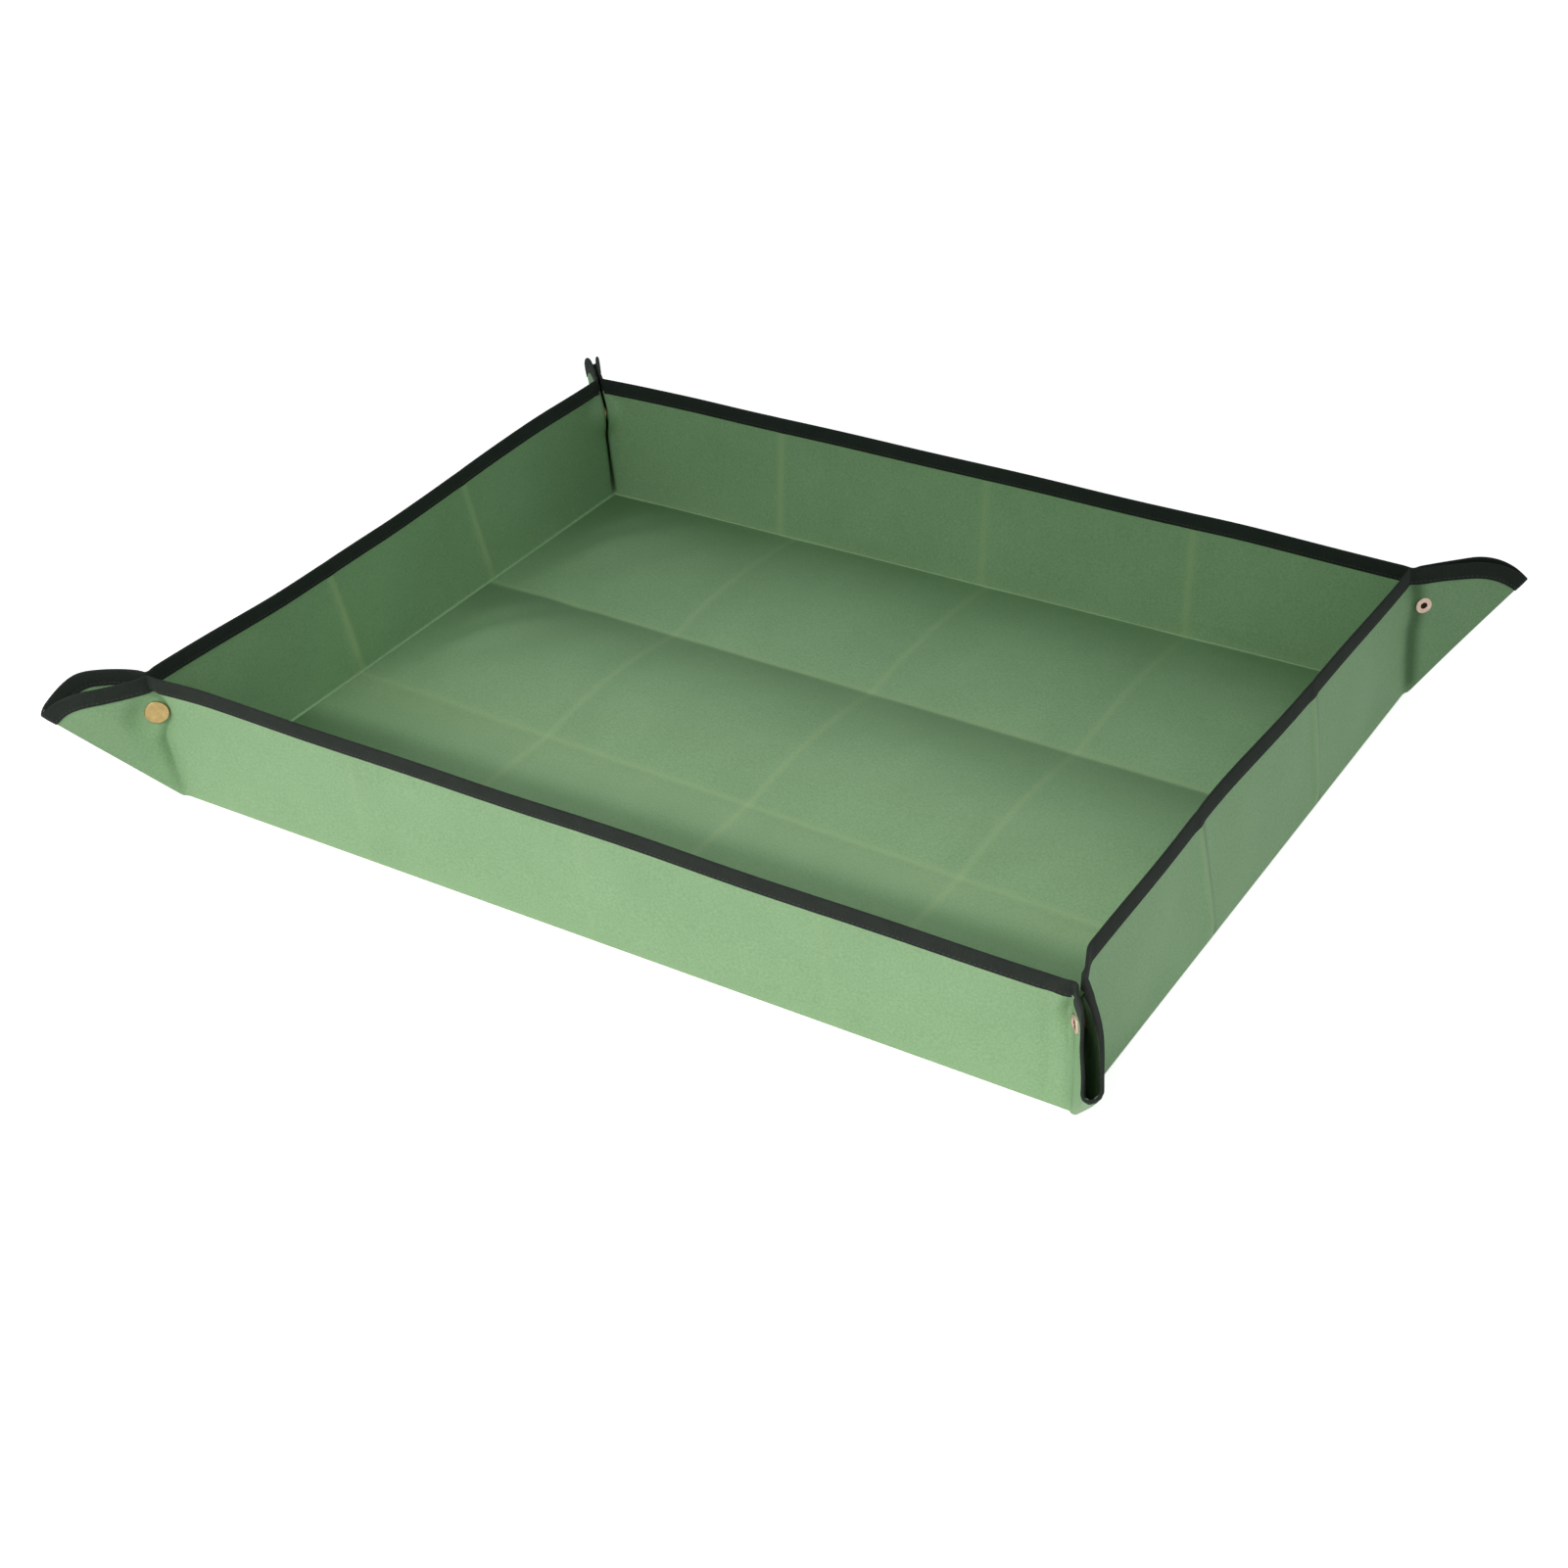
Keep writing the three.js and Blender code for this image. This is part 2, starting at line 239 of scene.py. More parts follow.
# %% The four walls
# Each wall: its quarter turns from the front, its two ears and the corners where they stand.
WALLS = {
    "front_wall": {"quarters": 0, "ears": ("left", "right"), "corners": ("front_left", "front_right")},
    "right_wall": {"quarters": 1, "ears": ("front", "back"), "corners": ("front_right", "back_right")},
    "back_wall": {"quarters": 2, "ears": ("right", "left"), "corners": ("back_right", "back_left")},
    "left_wall": {"quarters": 3, "ears": ("back", "front"), "corners": ("back_left", "front_left")},
}
for name, wall in WALLS.items():
    turn = wall["quarters"] * QUARTER
    wall["heading"] = turn
    wall["along"] = np.array((math.cos(turn), math.sin(turn), 0))
    wall["outward"] = np.array((math.sin(turn), -math.cos(turn), 0))
    wall["middle"] = abs(float(np.dot(joint_place[f"{name}_fold"], wall["outward"])))
    wall["ear_names"] = [f"{name}_{end}_ear" for end in wall["ears"]]
    last_ear = wall["ear_names"][1]
    wall["fold"] = float(np.dot(joint_place[f"{last_ear}_fold"], wall["along"]))
    wall["reach"] = half_width if wall["quarters"] % 2 else half_length
    print(name, "mid-plane", round(wall["middle"] / MM, 2), "fold line", round(wall["fold"] / MM, 2))

# %% How the ears are shaped
# On an ear, u is how far a point lies past the fold line, and v is its height above the base.
EAR_TURN = math.radians(45)
BEND_RADIUS = 8 * MM
BEND_TANGENT = BEND_RADIUS * math.tan(EAR_TURN / 2)
for wall in WALLS.values():
    wall["bend_start"] = wall["fold"] - BEND_TANGENT
corner_setback = half_length - WALLS["front_wall"]["fold"]
crease_shift = corner_setback - cloth_thickness
half_gap = (corner_setback - cloth_thickness / 2) * math.cos(EAR_TURN)
edge_centre_u = corner_setback + wall_height - SHEET_CORNER_RADIUS - cloth_thickness
edge_centre_v = wall_height - SHEET_CORNER_RADIUS
ear_tip = edge_centre_u + SHEET_CORNER_RADIUS * math.cos(EAR_TURN)
snap_low, snap_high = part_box("front_left_snap_cap")
snap_v = (snap_low.z + snap_high.z) / 2
ear_way = Vector((-math.cos(EAR_TURN), -math.sin(EAR_TURN), 0))
snap_u = ((snap_low + snap_high) / 2 - joint_place["front_wall_left_ear_fold"]).dot(ear_way)
# Each ear, in millimetres: how far its tip swings sideways, sinks and draws back, how far the rims of
# its two halves open, how far its lips close at the bend, and how far the walls beside it run on
# inside it; and, as a share, how much painted shade darkens its bend.
# Sinking and drawing back stay about equal, so the tip moves along the crease and the halves still
# meet there when the sheet lies flat.
EARS = {
    "front_left": dict(sway=2, droop=1, pull=1.5, mouth=(7, 14), lips=1.5, lap=13, soil=0.22),
    "front_right": dict(sway=21, droop=0, pull=0.5, mouth=(2, 4), lips=1.5, lap=10, soil=0.3),
    "back_right": dict(sway=3, droop=1.5, pull=2, mouth=(1, 1), lips=1.5, lap=3, soil=0.75),
    "back_left": dict(sway=2, droop=0, pull=0.5, mouth=(-1, -1), lips=0.5, lap=13, soil=0.5),
}
print("press stud", round(snap_u / MM, 1), "mm and ear tip", round(ear_tip / MM, 1), "mm past the fold")

# %% Soft steps and distances
STILL_REACH = 24 * MM
MOUTH_OPENING = 3.6 * MM


def soft_step(value):
    """0 below 0, 1 above 1 and a smooth rise between."""
    share = np.clip(value, 0, 1)
    return share * share * (3 - 2 * share)


def bell(distance, width):
    """1 at no distance, falling to 0 on both sides over about twice the width."""
    return np.exp(-(distance / width) ** 2)


def crease_distance(u, v):
    """Distance on the flat sheet from the diagonal crease that closes an ear at its foot."""
    run = ((u - crease_shift) + v) * math.sqrt(0.5)
    beside = (v - (u - crease_shift)) * math.sqrt(0.5)
    return np.where(run > 0, np.maximum(beside, 0), np.hypot(u - crease_shift, v))


def ear_round(u):
    """Half the width of the ear's mouth, which is also the radius of its rounded foot."""
    share = (u - STILL_REACH) / (ear_tip - STILL_REACH)
    return half_gap + MOUTH_OPENING * soft_step(share)


def ear_lift(u, v):
    """How far the cloth of an ear stands off its flat plane, outwards."""
    radius = ear_round(u)
    near = np.clip(crease_distance(u, v) / radius, 0, 1)
    return radius * np.sqrt(1 - (1 - near) ** 2) - half_gap


# %% Which parts of an ear move or carry painted shade
SNAP_HOLD = 9 * MM
SNAP_FREE = 26 * MM
MOUTH_START = 2 * MM
LIP_PLACE = 1 * MM
LIP_WIDTH = 4 * MM
LIP_FOOT = 9 * MM
LIP_RISE = 30 * MM
HOLLOW_PLACE = 4.5 * MM
HOLLOW_WIDTH = 6 * MM
HOLLOW_RISE = 14 * MM
EAR_DARKENING = 0.14
EAR_DARKENING_REACH = 24 * MM


def rim_share(u, v):
    """0 at the base, the diagonal crease and where a press stud holds the cloth, up to 1 at the rim."""
    height = np.clip((v - np.maximum(u - crease_shift, 0)) / wall_height, 0, 1)
    away = np.hypot(u - snap_u, v - snap_v)
    return height * soft_step((away - SNAP_HOLD) / (SNAP_FREE - SNAP_HOLD))


def mouth_share(u, v):
    """How far an ear's edge opens: 0 at the foot, the bend and the tip, 1 half-way along the rim."""
    run = np.clip((u - MOUTH_START) / (ear_tip - MOUTH_START), 0, 1)
    return 4 * run * (1 - run) * soft_step(2 * rim_share(u, v))


def lip_share(u, v):
    """Where the two lips of a slot are drawn together: 1 at the bend, 0 beside it and at the base."""
    return bell(u - LIP_PLACE, LIP_WIDTH) * soft_step((v - LIP_FOOT) / LIP_RISE)


def fold_soil(u, v):
    """Painted shade that darkens the hollow of an ear's bend: 1 in its middle, 0 beside it and at the base.
    """
    return bell(u - HOLLOW_PLACE, HOLLOW_WIDTH) * soft_step(v / HOLLOW_RISE)


def hand_soil(u):
    """The ears are a little darker than the walls, from the fold out to a reach past it."""
    return EAR_DARKENING * soft_step(u / EAR_DARKENING_REACH)


# %% Leans, and creases left by packing
# How far a rim leans outwards, at places along its wall, both in millimetres.
RIM_LEAN = {
    "front_wall": ((-384, 9), (-345, 5.2), (-280, 5.2), (0, 5.8), (240, 7.2), (384, 7.8)),
    "right_wall": ((-284, -6.5), (-200, -8), (-60, -9.7), (0, -8.5), (98, -6.4), (216, -5), (284, -4)),
    "back_wall": ((-384, 0), (-287, 4.2), (-240, 6.8), (0, 9.8), (170, 11.6), (286, 13), (384, 10)),
    "left_wall": ((-284, 12), (-207, 14.5), (-112, 9.6), (14, 2.9), (158, 3.8), (221, 7.2), (284, 10)),
}
# How far the two ends of a rim are pushed out along the ear that they run into.
RIM_SLIDE = {"front_wall": (7 * MM, 6 * MM), "right_wall": (0, 0), "back_wall": (0, 12 * MM),
             "left_wall": (10 * MM, 6 * MM)}
# The right rim turns out early at its front end: distances past the fold, and how far out it is there.
FRONT_KINK = ((-26, 0), (0, 10.7), (30, 3.7))
# Each crease of a wall: its place at the rim and at the base, its ridge (outwards) and its wear, which is
# partly rubbed wear and partly a painted highlight.
CREASES = {
    "front_wall": ((-0.198, -0.197, 0.30 * MM, 0.10), (0.006, 0.008, -0.30 * MM, 0.10),
                   (0.203, 0.210, 0.35 * MM, 0.10), (0.3685, 0.3690, -3.0 * MM, 0.0)),
    "right_wall": ((-0.091, -0.080, 2.5 * MM, 0.3), (0.096, 0.106, 2.5 * MM, 0.3)),
    "back_wall": ((-0.199, -0.197, -1.1 * MM, 0.44), (-0.007, -0.005, -0.8 * MM, 0.36),
                  (0.200, 0.202, -0.9 * MM, 0.50)),
    "left_wall": ((-0.086, -0.103, -1.7 * MM, 0.62), (0.094, 0.075, -1.7 * MM, 0.70)),
}
print("wall creases", {name: len(creases) for name, creases in CREASES.items()})

# %% How far a wall stands off its plane
CREASE_WIDTH = 5.5 * MM
RIPPLE_HEIGHT = 0.5 * MM
RIPPLE_LENGTH = 31 * MM
RIPPLE_RISE = 24 * MM
SWELL_HEIGHT = 0.4 * MM
SWELL_LENGTH = 57 * MM
SWELL_RISE = 50 * MM
RIM_HOLD = 0.9
FOOT_FADE = 6
END_FADE = 24
CURVE_SAMPLES = 7
LEAN_BLUR = 18 * MM
KINK_BLUR = 4 * MM


def crease_shares(name, x, z):
    """For each crease of a wall, 1 along its middle, falling to 0 beside it."""
    for rim, base, ridge, wear in CREASES[name]:
        middle = base + (rim - base) * z / wall_height
        yield bell(x - middle, CREASE_WIDTH), ridge, wear


def wall_lift(name, x, z):
    """Creases, which the tape holds flat at the rim, and slight waves; 0 at the base and the ends."""
    heading = WALLS[name]["heading"]
    height = z / wall_height
    ripples = RIPPLE_HEIGHT * np.sin(x / RIPPLE_LENGTH + 2 * heading) * np.sin(z / RIPPLE_RISE)
    swells = SWELL_HEIGHT * np.sin(x / SWELL_LENGTH - z / SWELL_RISE + heading)
    relief = sum(ridge * share for share, ridge, wear in crease_shares(name, x, z))
    relief = relief * (1 - RIM_HOLD * height ** 3)
    inside = 1 - np.clip(np.abs(x) / WALLS[name]["fold"], 0, 1) ** END_FADE
    return (ripples + swells + relief) * inside * soft_step(height * FOOT_FADE)


def soft_curve(place, knots, blur):
    """A line through knots, pairs in millimetres, whose corners are rounded over a blur on each side."""
    places, values = np.array(knots).T * MM
    shifts = np.linspace(-blur, blur, CURVE_SAMPLES)
    return sum(np.interp(place + shift, places, values) for shift in shifts) / CURVE_SAMPLES


def wall_lean(name, x, z):
    """How far a wall and its ears lean out from upright; a press stud holds the cloth where it is."""
    u = np.abs(x) - WALLS[name]["fold"]
    lean = soft_curve(x, RIM_LEAN[name], LEAN_BLUR)
    if name == "right_wall":
        lean = lean + np.where(x < 0, soft_curve(u, FRONT_KINK, KINK_BLUR), 0)
    return lean * rim_share(u, z)


# %% Place of any point of a strip
SLIDE_REACH = 60 * MM
TIP_CURVE = 1.35
TIP_LIMIT = 1.2


def strip_points(name, x, z, under=0):
    """Place at rest of the sheet's middle layer, x along a wall's strip and z up it, as arrays.

    under is how far a piece lies inside the cloth of the ear that it runs on into.
    """
    wall = WALLS[name]
    side = np.where(x < 0, -1.0, 1.0)
    u = np.abs(x) - wall["fold"]
    angle = np.clip((u + BEND_TANGENT) / (2 * BEND_TANGENT), 0, 1) * EAR_TURN
    still = STILL_REACH * soft_step(z / snap_v)
    tip_share = np.clip((u - still) / (ear_tip - still), 0, TIP_LIMIT) ** TIP_CURVE
    first, last = (EARS[corner] for corner in wall["corners"])
    own = {key: np.where(side < 0, first[key], last[key]) * MM for key in ("sway", "droop", "pull", "lips")}
    past = np.maximum(u - BEND_TANGENT, 0) - own["pull"] * tip_share
    along = np.minimum(np.abs(x), wall["bend_start"]) + BEND_RADIUS * np.sin(angle)
    along = along + past * math.cos(EAR_TURN)
    out = BEND_RADIUS * (1 - np.cos(angle)) + past * math.sin(EAR_TURN)
    mouth = np.where(side < 0, first["mouth"][0], last["mouth"][1]) * MM * mouth_share(u, z)
    lift = wall_lift(name, x, z) + ear_lift(u, z) + side * own["sway"] * tip_share
    lift = lift + mouth - own["lips"] * lip_share(u, z)
    lift = lift - under * soft_step((u + BEND_TANGENT) / BEND_TANGENT)
    slide = np.where(side < 0, *RIM_SLIDE[name]) * rim_share(u, z)
    along = along - np.sin(angle) * lift + slide * bell(np.maximum(-u, 0), SLIDE_REACH)
    out = out + np.cos(angle) * lift + wall_lean(name, x, z)
    place = (side * along)[..., None] * wall["along"] + (wall["middle"] + out)[..., None] * wall["outward"]
    place[..., 2] = z - own["droop"] * tip_share
    return place


test = strip_points("front_wall", np.array([0.0, 0.3]), np.array([0.05, 0.1]))
print("front wall at", [[round(value, 4) for value in row] for row in test.tolist()])

# %% [markdown]
# ## Cloth finish
# The real sheet is a woven plastic cloth with a smooth coating. From a step away it is an even, soft
# green with a fine grain, and its creases are lighter, partly from rubbing and partly as a painted
# highlight. A single colour would look like paint. The finish mixes two greens by noise at two sizes,
# lightens them where the mesh carries wear and painted highlight, and darkens them where it carries
# painted shade, which stands in for the shade in hollows, at bends and at the floor's margins. A fine
# weave is added as bump, which follows the flat sheet through each piece's own UV map in metres.

# %% Helpers for finishes
# The Wave node runs through this many radians for each unit, at a scale of 1.
WAVE_RADIANS = 20


def paint(red, green, blue):
    """A colour given as it looks on screen, 0 to 255, in the units of a shader socket."""
    shares = [value / 255 for value in (red, green, blue)]
    return [s / 12.92 if s <= 0.04045 else ((s + 0.055) / 1.055) ** 2.4 for s in shares] + [1]


def mesh_share(tree, mark):
    """What a mesh carries at each point under a name, such as wear."""
    return new_node(tree, "Attribute", {}, attribute_name=mark).outputs["Fac"]


def noise_node(tree, vector, scale, detail=2.0, roughness=0.5):
    inputs = {"Vector": vector, "Scale": scale, "Detail": detail, "Roughness": roughness}
    return new_node(tree, "TexNoise", inputs).outputs["Fac"]


def wave_node(tree, vector, direction, period):
    """Bands across a direction, one for each period in metres."""
    inputs = {"Vector": vector, "Scale": 2 * math.pi / (WAVE_RADIANS * period), "Distortion": 0}
    return new_node(tree, "TexWave", inputs, bands_direction=direction).outputs["Fac"]


def bump_node(tree, height, distance, strength, below=None):
    inputs = {"Height": height, "Distance": distance, "Strength": strength}
    if below is not None:
        inputs["Normal"] = below
    return new_node(tree, "Bump", inputs).outputs["Normal"]


# %% Green coated cloth
YARN_PERIOD = 1.3 * MM
cloth_finish, tree, shader = finish_start("coated_cloth_green")
places = new_node(tree, "TexCoord", {}).outputs
grain = noise_node(tree, places["Object"], scale=600, detail=3)
cloud = noise_node(tree, places["Object"], scale=16, detail=4, roughness=0.6)
tone = value_mix(tree, "ADD", range_node(tree, grain, 0.1, 0.5, from_low=0.3, from_high=0.7),
                 range_node(tree, cloud, 0.05, 0.45))
green = colour_mix(tree, tone, paint(121, 160, 114), paint(161, 201, 154))
# The pale green is partly rubbed wear and partly a painted highlight.
green = colour_mix(tree, mesh_share(tree, "wear"), green, paint(174, 205, 152))
# The dark green is painted shade, where the mesh carries it.
green = colour_mix(tree, mesh_share(tree, "soil"), green, paint(57, 92, 56))
weave = value_mix(tree, "MULTIPLY", wave_node(tree, places["UV"], "X", YARN_PERIOD),
                  wave_node(tree, places["UV"], "Y", YARN_PERIOD))
relief = bump_node(tree, weave, distance=0.2 * MM, strength=0.35)
relief = bump_node(tree, grain, distance=0.5 * MM, strength=0.12, below=relief)
set_sockets(tree, shader, {"Base Color": green, "Roughness": range_node(tree, grain, 0.5, 0.68),
                           "Specular IOR Level": 0.2, "Normal": relief})
print("cloth finish with", len(tree.nodes), "nodes")

# %% [markdown]
# ## Floor panel
# The floor of the tray is the middle of the sheet. The mat was packed folded, so five creases cross
# the floor, and between and behind the two long ones the cloth stands up in shallow pillows. A flat
# plane would show none of that. A grid is added, its columns and rows are drawn together near the
# creases, and each point is lifted to its place, which is the same as pushing it up with a sculpt
# brush. The creases carry wear and a painted highlight, and a band before the front crease carries a
# painted highlight. The valley before the back pillow and the back and left margins carry painted
# shade, and the front of the floor carries a painted shadow of the front wall.

# %% Helpers for cloth grids
MERGE_DISTANCE = 0.02 * MM


def spaced_places(half, creases, coarse=8 * MM, fine=1.5 * MM, reach=12 * MM):
    """Places from -half to half, close together beside creases and wider apart elsewhere."""
    places = list(np.linspace(-half, half, round(2 * half / coarse) + 1))
    for crease in creases:
        places = [place for place in places if abs(place - crease) > reach + fine]
        places += list(np.arange(crease - reach, crease + reach + fine / 2, fine))
    return np.array(sorted(places))


def grid_piece(name, points, flat, **marks):
    """A grid whose vertices move to points[column, row]; flat holds their places on the flat sheet."""
    columns, rows = points.shape[0] - 1, points.shape[1] - 1
    bpy.ops.object.select_all(action="DESELECT")
    bpy.ops.mesh.primitive_grid_add(x_subdivisions=columns, y_subdivisions=rows, size=1)
    piece = bpy.context.object
    piece.name = piece.data.name = name
    mesh = piece.data
    start = np.empty(len(mesh.vertices) * 3)
    mesh.vertices.foreach_get("co", start)
    start = start.reshape(-1, 3) + 0.5
    column = np.rint(start[:, 0] * columns).astype(int)
    row = np.rint(start[:, 1] * rows).astype(int)
    mesh.vertices.foreach_set("co", points[column, row].ravel())
    corners = np.empty(len(mesh.loops), dtype=np.int32)
    mesh.loops.foreach_get("vertex_index", corners)
    mesh.uv_layers.active.data.foreach_set("uv", flat[column, row][corners].ravel())
    for mark, shares in marks.items():
        values = np.clip(shares, 0, 1)[column, row]
        mesh.attributes.new(mark, "FLOAT", "POINT").data.foreach_set("value", values)
    mesh.update()
    return piece


def thicken(piece, thickness, finish, angle=60):
    """Closes doubled points, gives a sheet its thickness about its middle layer, shades and finishes it."""
    bpy.ops.object.mode_set(mode="EDIT")
    bpy.ops.mesh.select_all(action="SELECT")
    bpy.ops.mesh.remove_doubles(threshold=MERGE_DISTANCE)
    bpy.ops.object.mode_set(mode="OBJECT")
    solid = piece.modifiers.new("thickness", "SOLIDIFY")
    solid.thickness = thickness
    solid.offset = 0
    bpy.ops.object.modifier_apply(modifier=solid.name)
    bpy.ops.object.shade_smooth_by_angle(angle=math.radians(angle))
    piece.data.materials.append(finish)


# %% Height of the floor
FLOOR_CREASE_RADIUS = 2 * MM
STRIP_RISES = (1.5 * MM, 14 * MM, 14 * MM)
CROSS_CREASES = (-0.185, 0.012, 0.199)
STRIP_CREASES = (-0.0925, 0.0905)
VALLEY_ROUNDING = 3 * MM
VALLEY_SAMPLES = 5
CROSS_WIDTH = 26 * MM
CROSS_DEPTH = 0.4
END_FLAT = 70 * MM
SIDE_FLAT = 12 * MM
WAVE_HEIGHT = 0.3 * MM
# Pulled folds: their height, their slant, how close they lie, and the middle and size of each patch.
RAY_HEIGHT = 2.3 * MM
RAY_SLANT = (0.83, 0.55)
RAY_CLOSENESS = 7
RAY_PATCHES = ((-0.318, 0.200, 0.07), (-0.318, 0.025, 0.06))
edge_x = half_length - cloth_thickness / 2 - FLOOR_CREASE_RADIUS
edge_y = half_width - cloth_thickness / 2 - FLOOR_CREASE_RADIUS


def pillow(place, edges, rises):
    """A shallow arch over each span between neighbouring edges, 0 on the edges."""
    arch = np.zeros_like(place)
    for low, high, rise in zip(edges, edges[1:], rises):
        share = np.clip((place - low) / (high - low), 0, 1)
        arch = np.maximum(arch, rise * 4 * share * (1 - share))
    return arch


def ray_folds(x, y, middle_x, middle_y, size):
    """Soft pulled folds that slant through a patch of the floor near a tight corner."""
    slant_x, slant_y = RAY_SLANT
    across = ((x - middle_x) * slant_x - (y - middle_y) * slant_y) / size
    run = ((x - middle_x) * slant_y + (y - middle_y) * slant_x) / size
    return np.sin(across * RAY_CLOSENESS) * np.exp(-across ** 2 * 2 - run ** 2)


def floor_height(x, row, y):
    """Height of the floor's middle layer; row is a point's place before the creases slant it."""
    shifts = np.linspace(-VALLEY_ROUNDING, VALLEY_ROUNDING, VALLEY_SAMPLES)
    edges = (-half_width, *STRIP_CREASES, half_width)
    arch = sum(pillow(row + shift, edges, STRIP_RISES) for shift in shifts) / VALLEY_SAMPLES
    cross = sum(bell(x - crease, CROSS_WIDTH) for crease in CROSS_CREASES)
    ends = soft_step((edge_x - np.abs(x)) / END_FLAT)
    sides = soft_step((edge_y - np.abs(y)) / SIDE_FLAT)
    waves = WAVE_HEIGHT * np.sin(x / 0.043 + y / 0.09) * np.sin(y / 0.051 - x / 0.12)
    folds = RAY_HEIGHT * sum(ray_folds(x, y, *patch) for patch in RAY_PATCHES)
    lift = arch * (1 - CROSS_DEPTH * cross) * ends + (waves + folds) * sides * ends
    return cloth_thickness / 2 + np.maximum(lift, 0)


floor_x = spaced_places(edge_x, CROSS_CREASES)
floor_y = spaced_places(edge_y, STRIP_CREASES)
print("floor grid of", len(floor_x), "by", len(floor_y), "points")

# %% Shape the floor panel
STRIP_SLANTS = (-0.036, -0.020)
CREASE_WEAR_AND_HIGHLIGHT = 0.34
CROSS_WEAR_AND_HIGHLIGHT_WIDTH = 3.4 * MM
STRIP_WEAR_AND_HIGHLIGHT_WIDTH = 3.2 * MM
# Shares of painted highlight, painted shade or painted shadow, and how far they reach, in the order of the
# sums below.
BAND_PAINTED_HIGHLIGHT, BAND_PLACE, BAND_WIDTH = 0.2, 17 * MM, 15 * MM
VALLEY_PAINTED_SHADE, VALLEY_START, VALLEY_WIDTH = 0.34, 6 * MM, 68 * MM
BACK_PAINTED_SHADE, BACK_WIDTH = 0.32, 100 * MM
LEFT_PAINTED_SHADE, LEFT_WIDTH = 0.26, 150 * MM
FRONT_PAINTED_SHADOW, FRONT_START, FRONT_WIDTH = 0.46, -126 * MM, 32 * MM
grid_x, grid_row = np.meshgrid(floor_x, floor_y, indexing="ij")
slant = np.interp(grid_row, (-edge_y, *STRIP_CREASES, edge_y), (0, *STRIP_SLANTS, 0))
grid_y = grid_row + slant * grid_x
points = np.stack((grid_x, grid_y, floor_height(grid_x, grid_row, grid_y)), axis=-1)
wear = CREASE_WEAR_AND_HIGHLIGHT * sum(bell(grid_x - crease, CROSS_WEAR_AND_HIGHLIGHT_WIDTH) for crease in CROSS_CREASES)
wear = wear + CREASE_WEAR_AND_HIGHLIGHT * sum(bell(grid_row - crease, STRIP_WEAR_AND_HIGHLIGHT_WIDTH) for crease in STRIP_CREASES)
# A band before the front crease is a painted highlight.
wear = wear + BAND_PAINTED_HIGHLIGHT * bell(STRIP_CREASES[0] - grid_row - BAND_PLACE, BAND_WIDTH)
# Painted shade in the valley before the back pillow, towards the back and the left margin, and over the
# front of the floor a painted shadow of the front wall.
ahead = STRIP_CREASES[1] - grid_row
soil = VALLEY_PAINTED_SHADE * bell(ahead, VALLEY_WIDTH) * soft_step(ahead / VALLEY_START)
soil = soil + BACK_PAINTED_SHADE * bell(edge_y - grid_y, BACK_WIDTH)
soil = soil + LEFT_PAINTED_SHADE * bell(grid_x + edge_x, LEFT_WIDTH)
soil = soil + FRONT_PAINTED_SHADOW * soft_step((FRONT_START - grid_y) / FRONT_WIDTH)
floor_cloth = grid_piece("floor_cloth", points, points[..., :2], wear=wear, soil=soil)
thicken(floor_cloth, cloth_thickness, cloth_finish)
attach(floor_cloth, "floor")
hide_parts("floor_panel")
print("floor panel with", len(floor_cloth.data.polygons), "faces")

# %% [markdown]
# ## Walls
# A wall is a strip of the same cloth, turned up at the base crease. It is nearly flat, but its rim
# leans, outwards at the front, back and left and inwards at the right, and packing has left creases
# across it. The grid is laid out as for the floor and takes its shape from the strip function. On the
# real sheet a wall and its ears are one cloth. Here the wall's grid runs on a little way inside each
# ear, out of sight, so that no gap shows at the bends when the mat lies flat. It is cut back at the
# press stud and stays below the tape.

# %% Helpers for walls and ears
LAP_STEPS = np.linspace(0, 1, 12)[1:]
RIDGE_SHADE = 5 * MM
HIGH_RIDGE = 1 * MM
# Painted shade beside high ridges and at the left wall's back end.
RIDGE_PAINTED_SHADE = 0.4
END_PAINTED_SHADE = {"left_wall": 0.24}
END_PAINTED_SHADE_WIDTH = 110 * MM
pieces_of = {}


def lie_flat(piece, body):
    """Rides on a body, with a mesh of its own."""
    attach(piece, body)
    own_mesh(piece)


def lapped_places(name, places):
    """Places along a wall that run on past its two bends, inside the ears."""
    end = WALLS[name]["bend_start"]
    first, last = (EARS[corner]["lap"] * MM for corner in WALLS[name]["corners"])
    return np.concatenate((-end - first * LAP_STEPS[::-1], places, end + last * LAP_STEPS))


def strip_soil(name, x, z):
    """Painted shade on a strip: at its bends, beside its high ridges and at the left wall's back end; the
    ears are also a little darker.
    """
    first, last = (EARS[corner]["soil"] for corner in WALLS[name]["corners"])
    u = np.abs(x) - WALLS[name]["fold"]
    bends = np.where(x < 0, first, last) * fold_soil(u, z) + hand_soil(u)
    back_end = END_PAINTED_SHADE.get(name, 0) * bell(x + half_width, END_PAINTED_SHADE_WIDTH)
    ridges = sum(share ** 3 for share, ridge, wear in crease_shares(name, x - RIDGE_SHADE, z)
                 if ridge > HIGH_RIDGE)
    return bends + back_end + RIDGE_PAINTED_SHADE * ridges


def strip_cloth(name, body, x, z, wear, under=0):
    """The cloth of a wall, or of an ear half at one of its ends, which takes the place of its solid."""
    points = strip_points(name, x, z, under)
    soil = strip_soil(name, x, z)
    cloth = grid_piece(f"{body}_cloth", points, np.stack((x, z), axis=-1), wear=wear, soil=soil)
    thicken(cloth, cloth_thickness, cloth_finish)
    lie_flat(cloth, body)
    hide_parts(body)
    pieces_of[body] = [cloth]
    return cloth


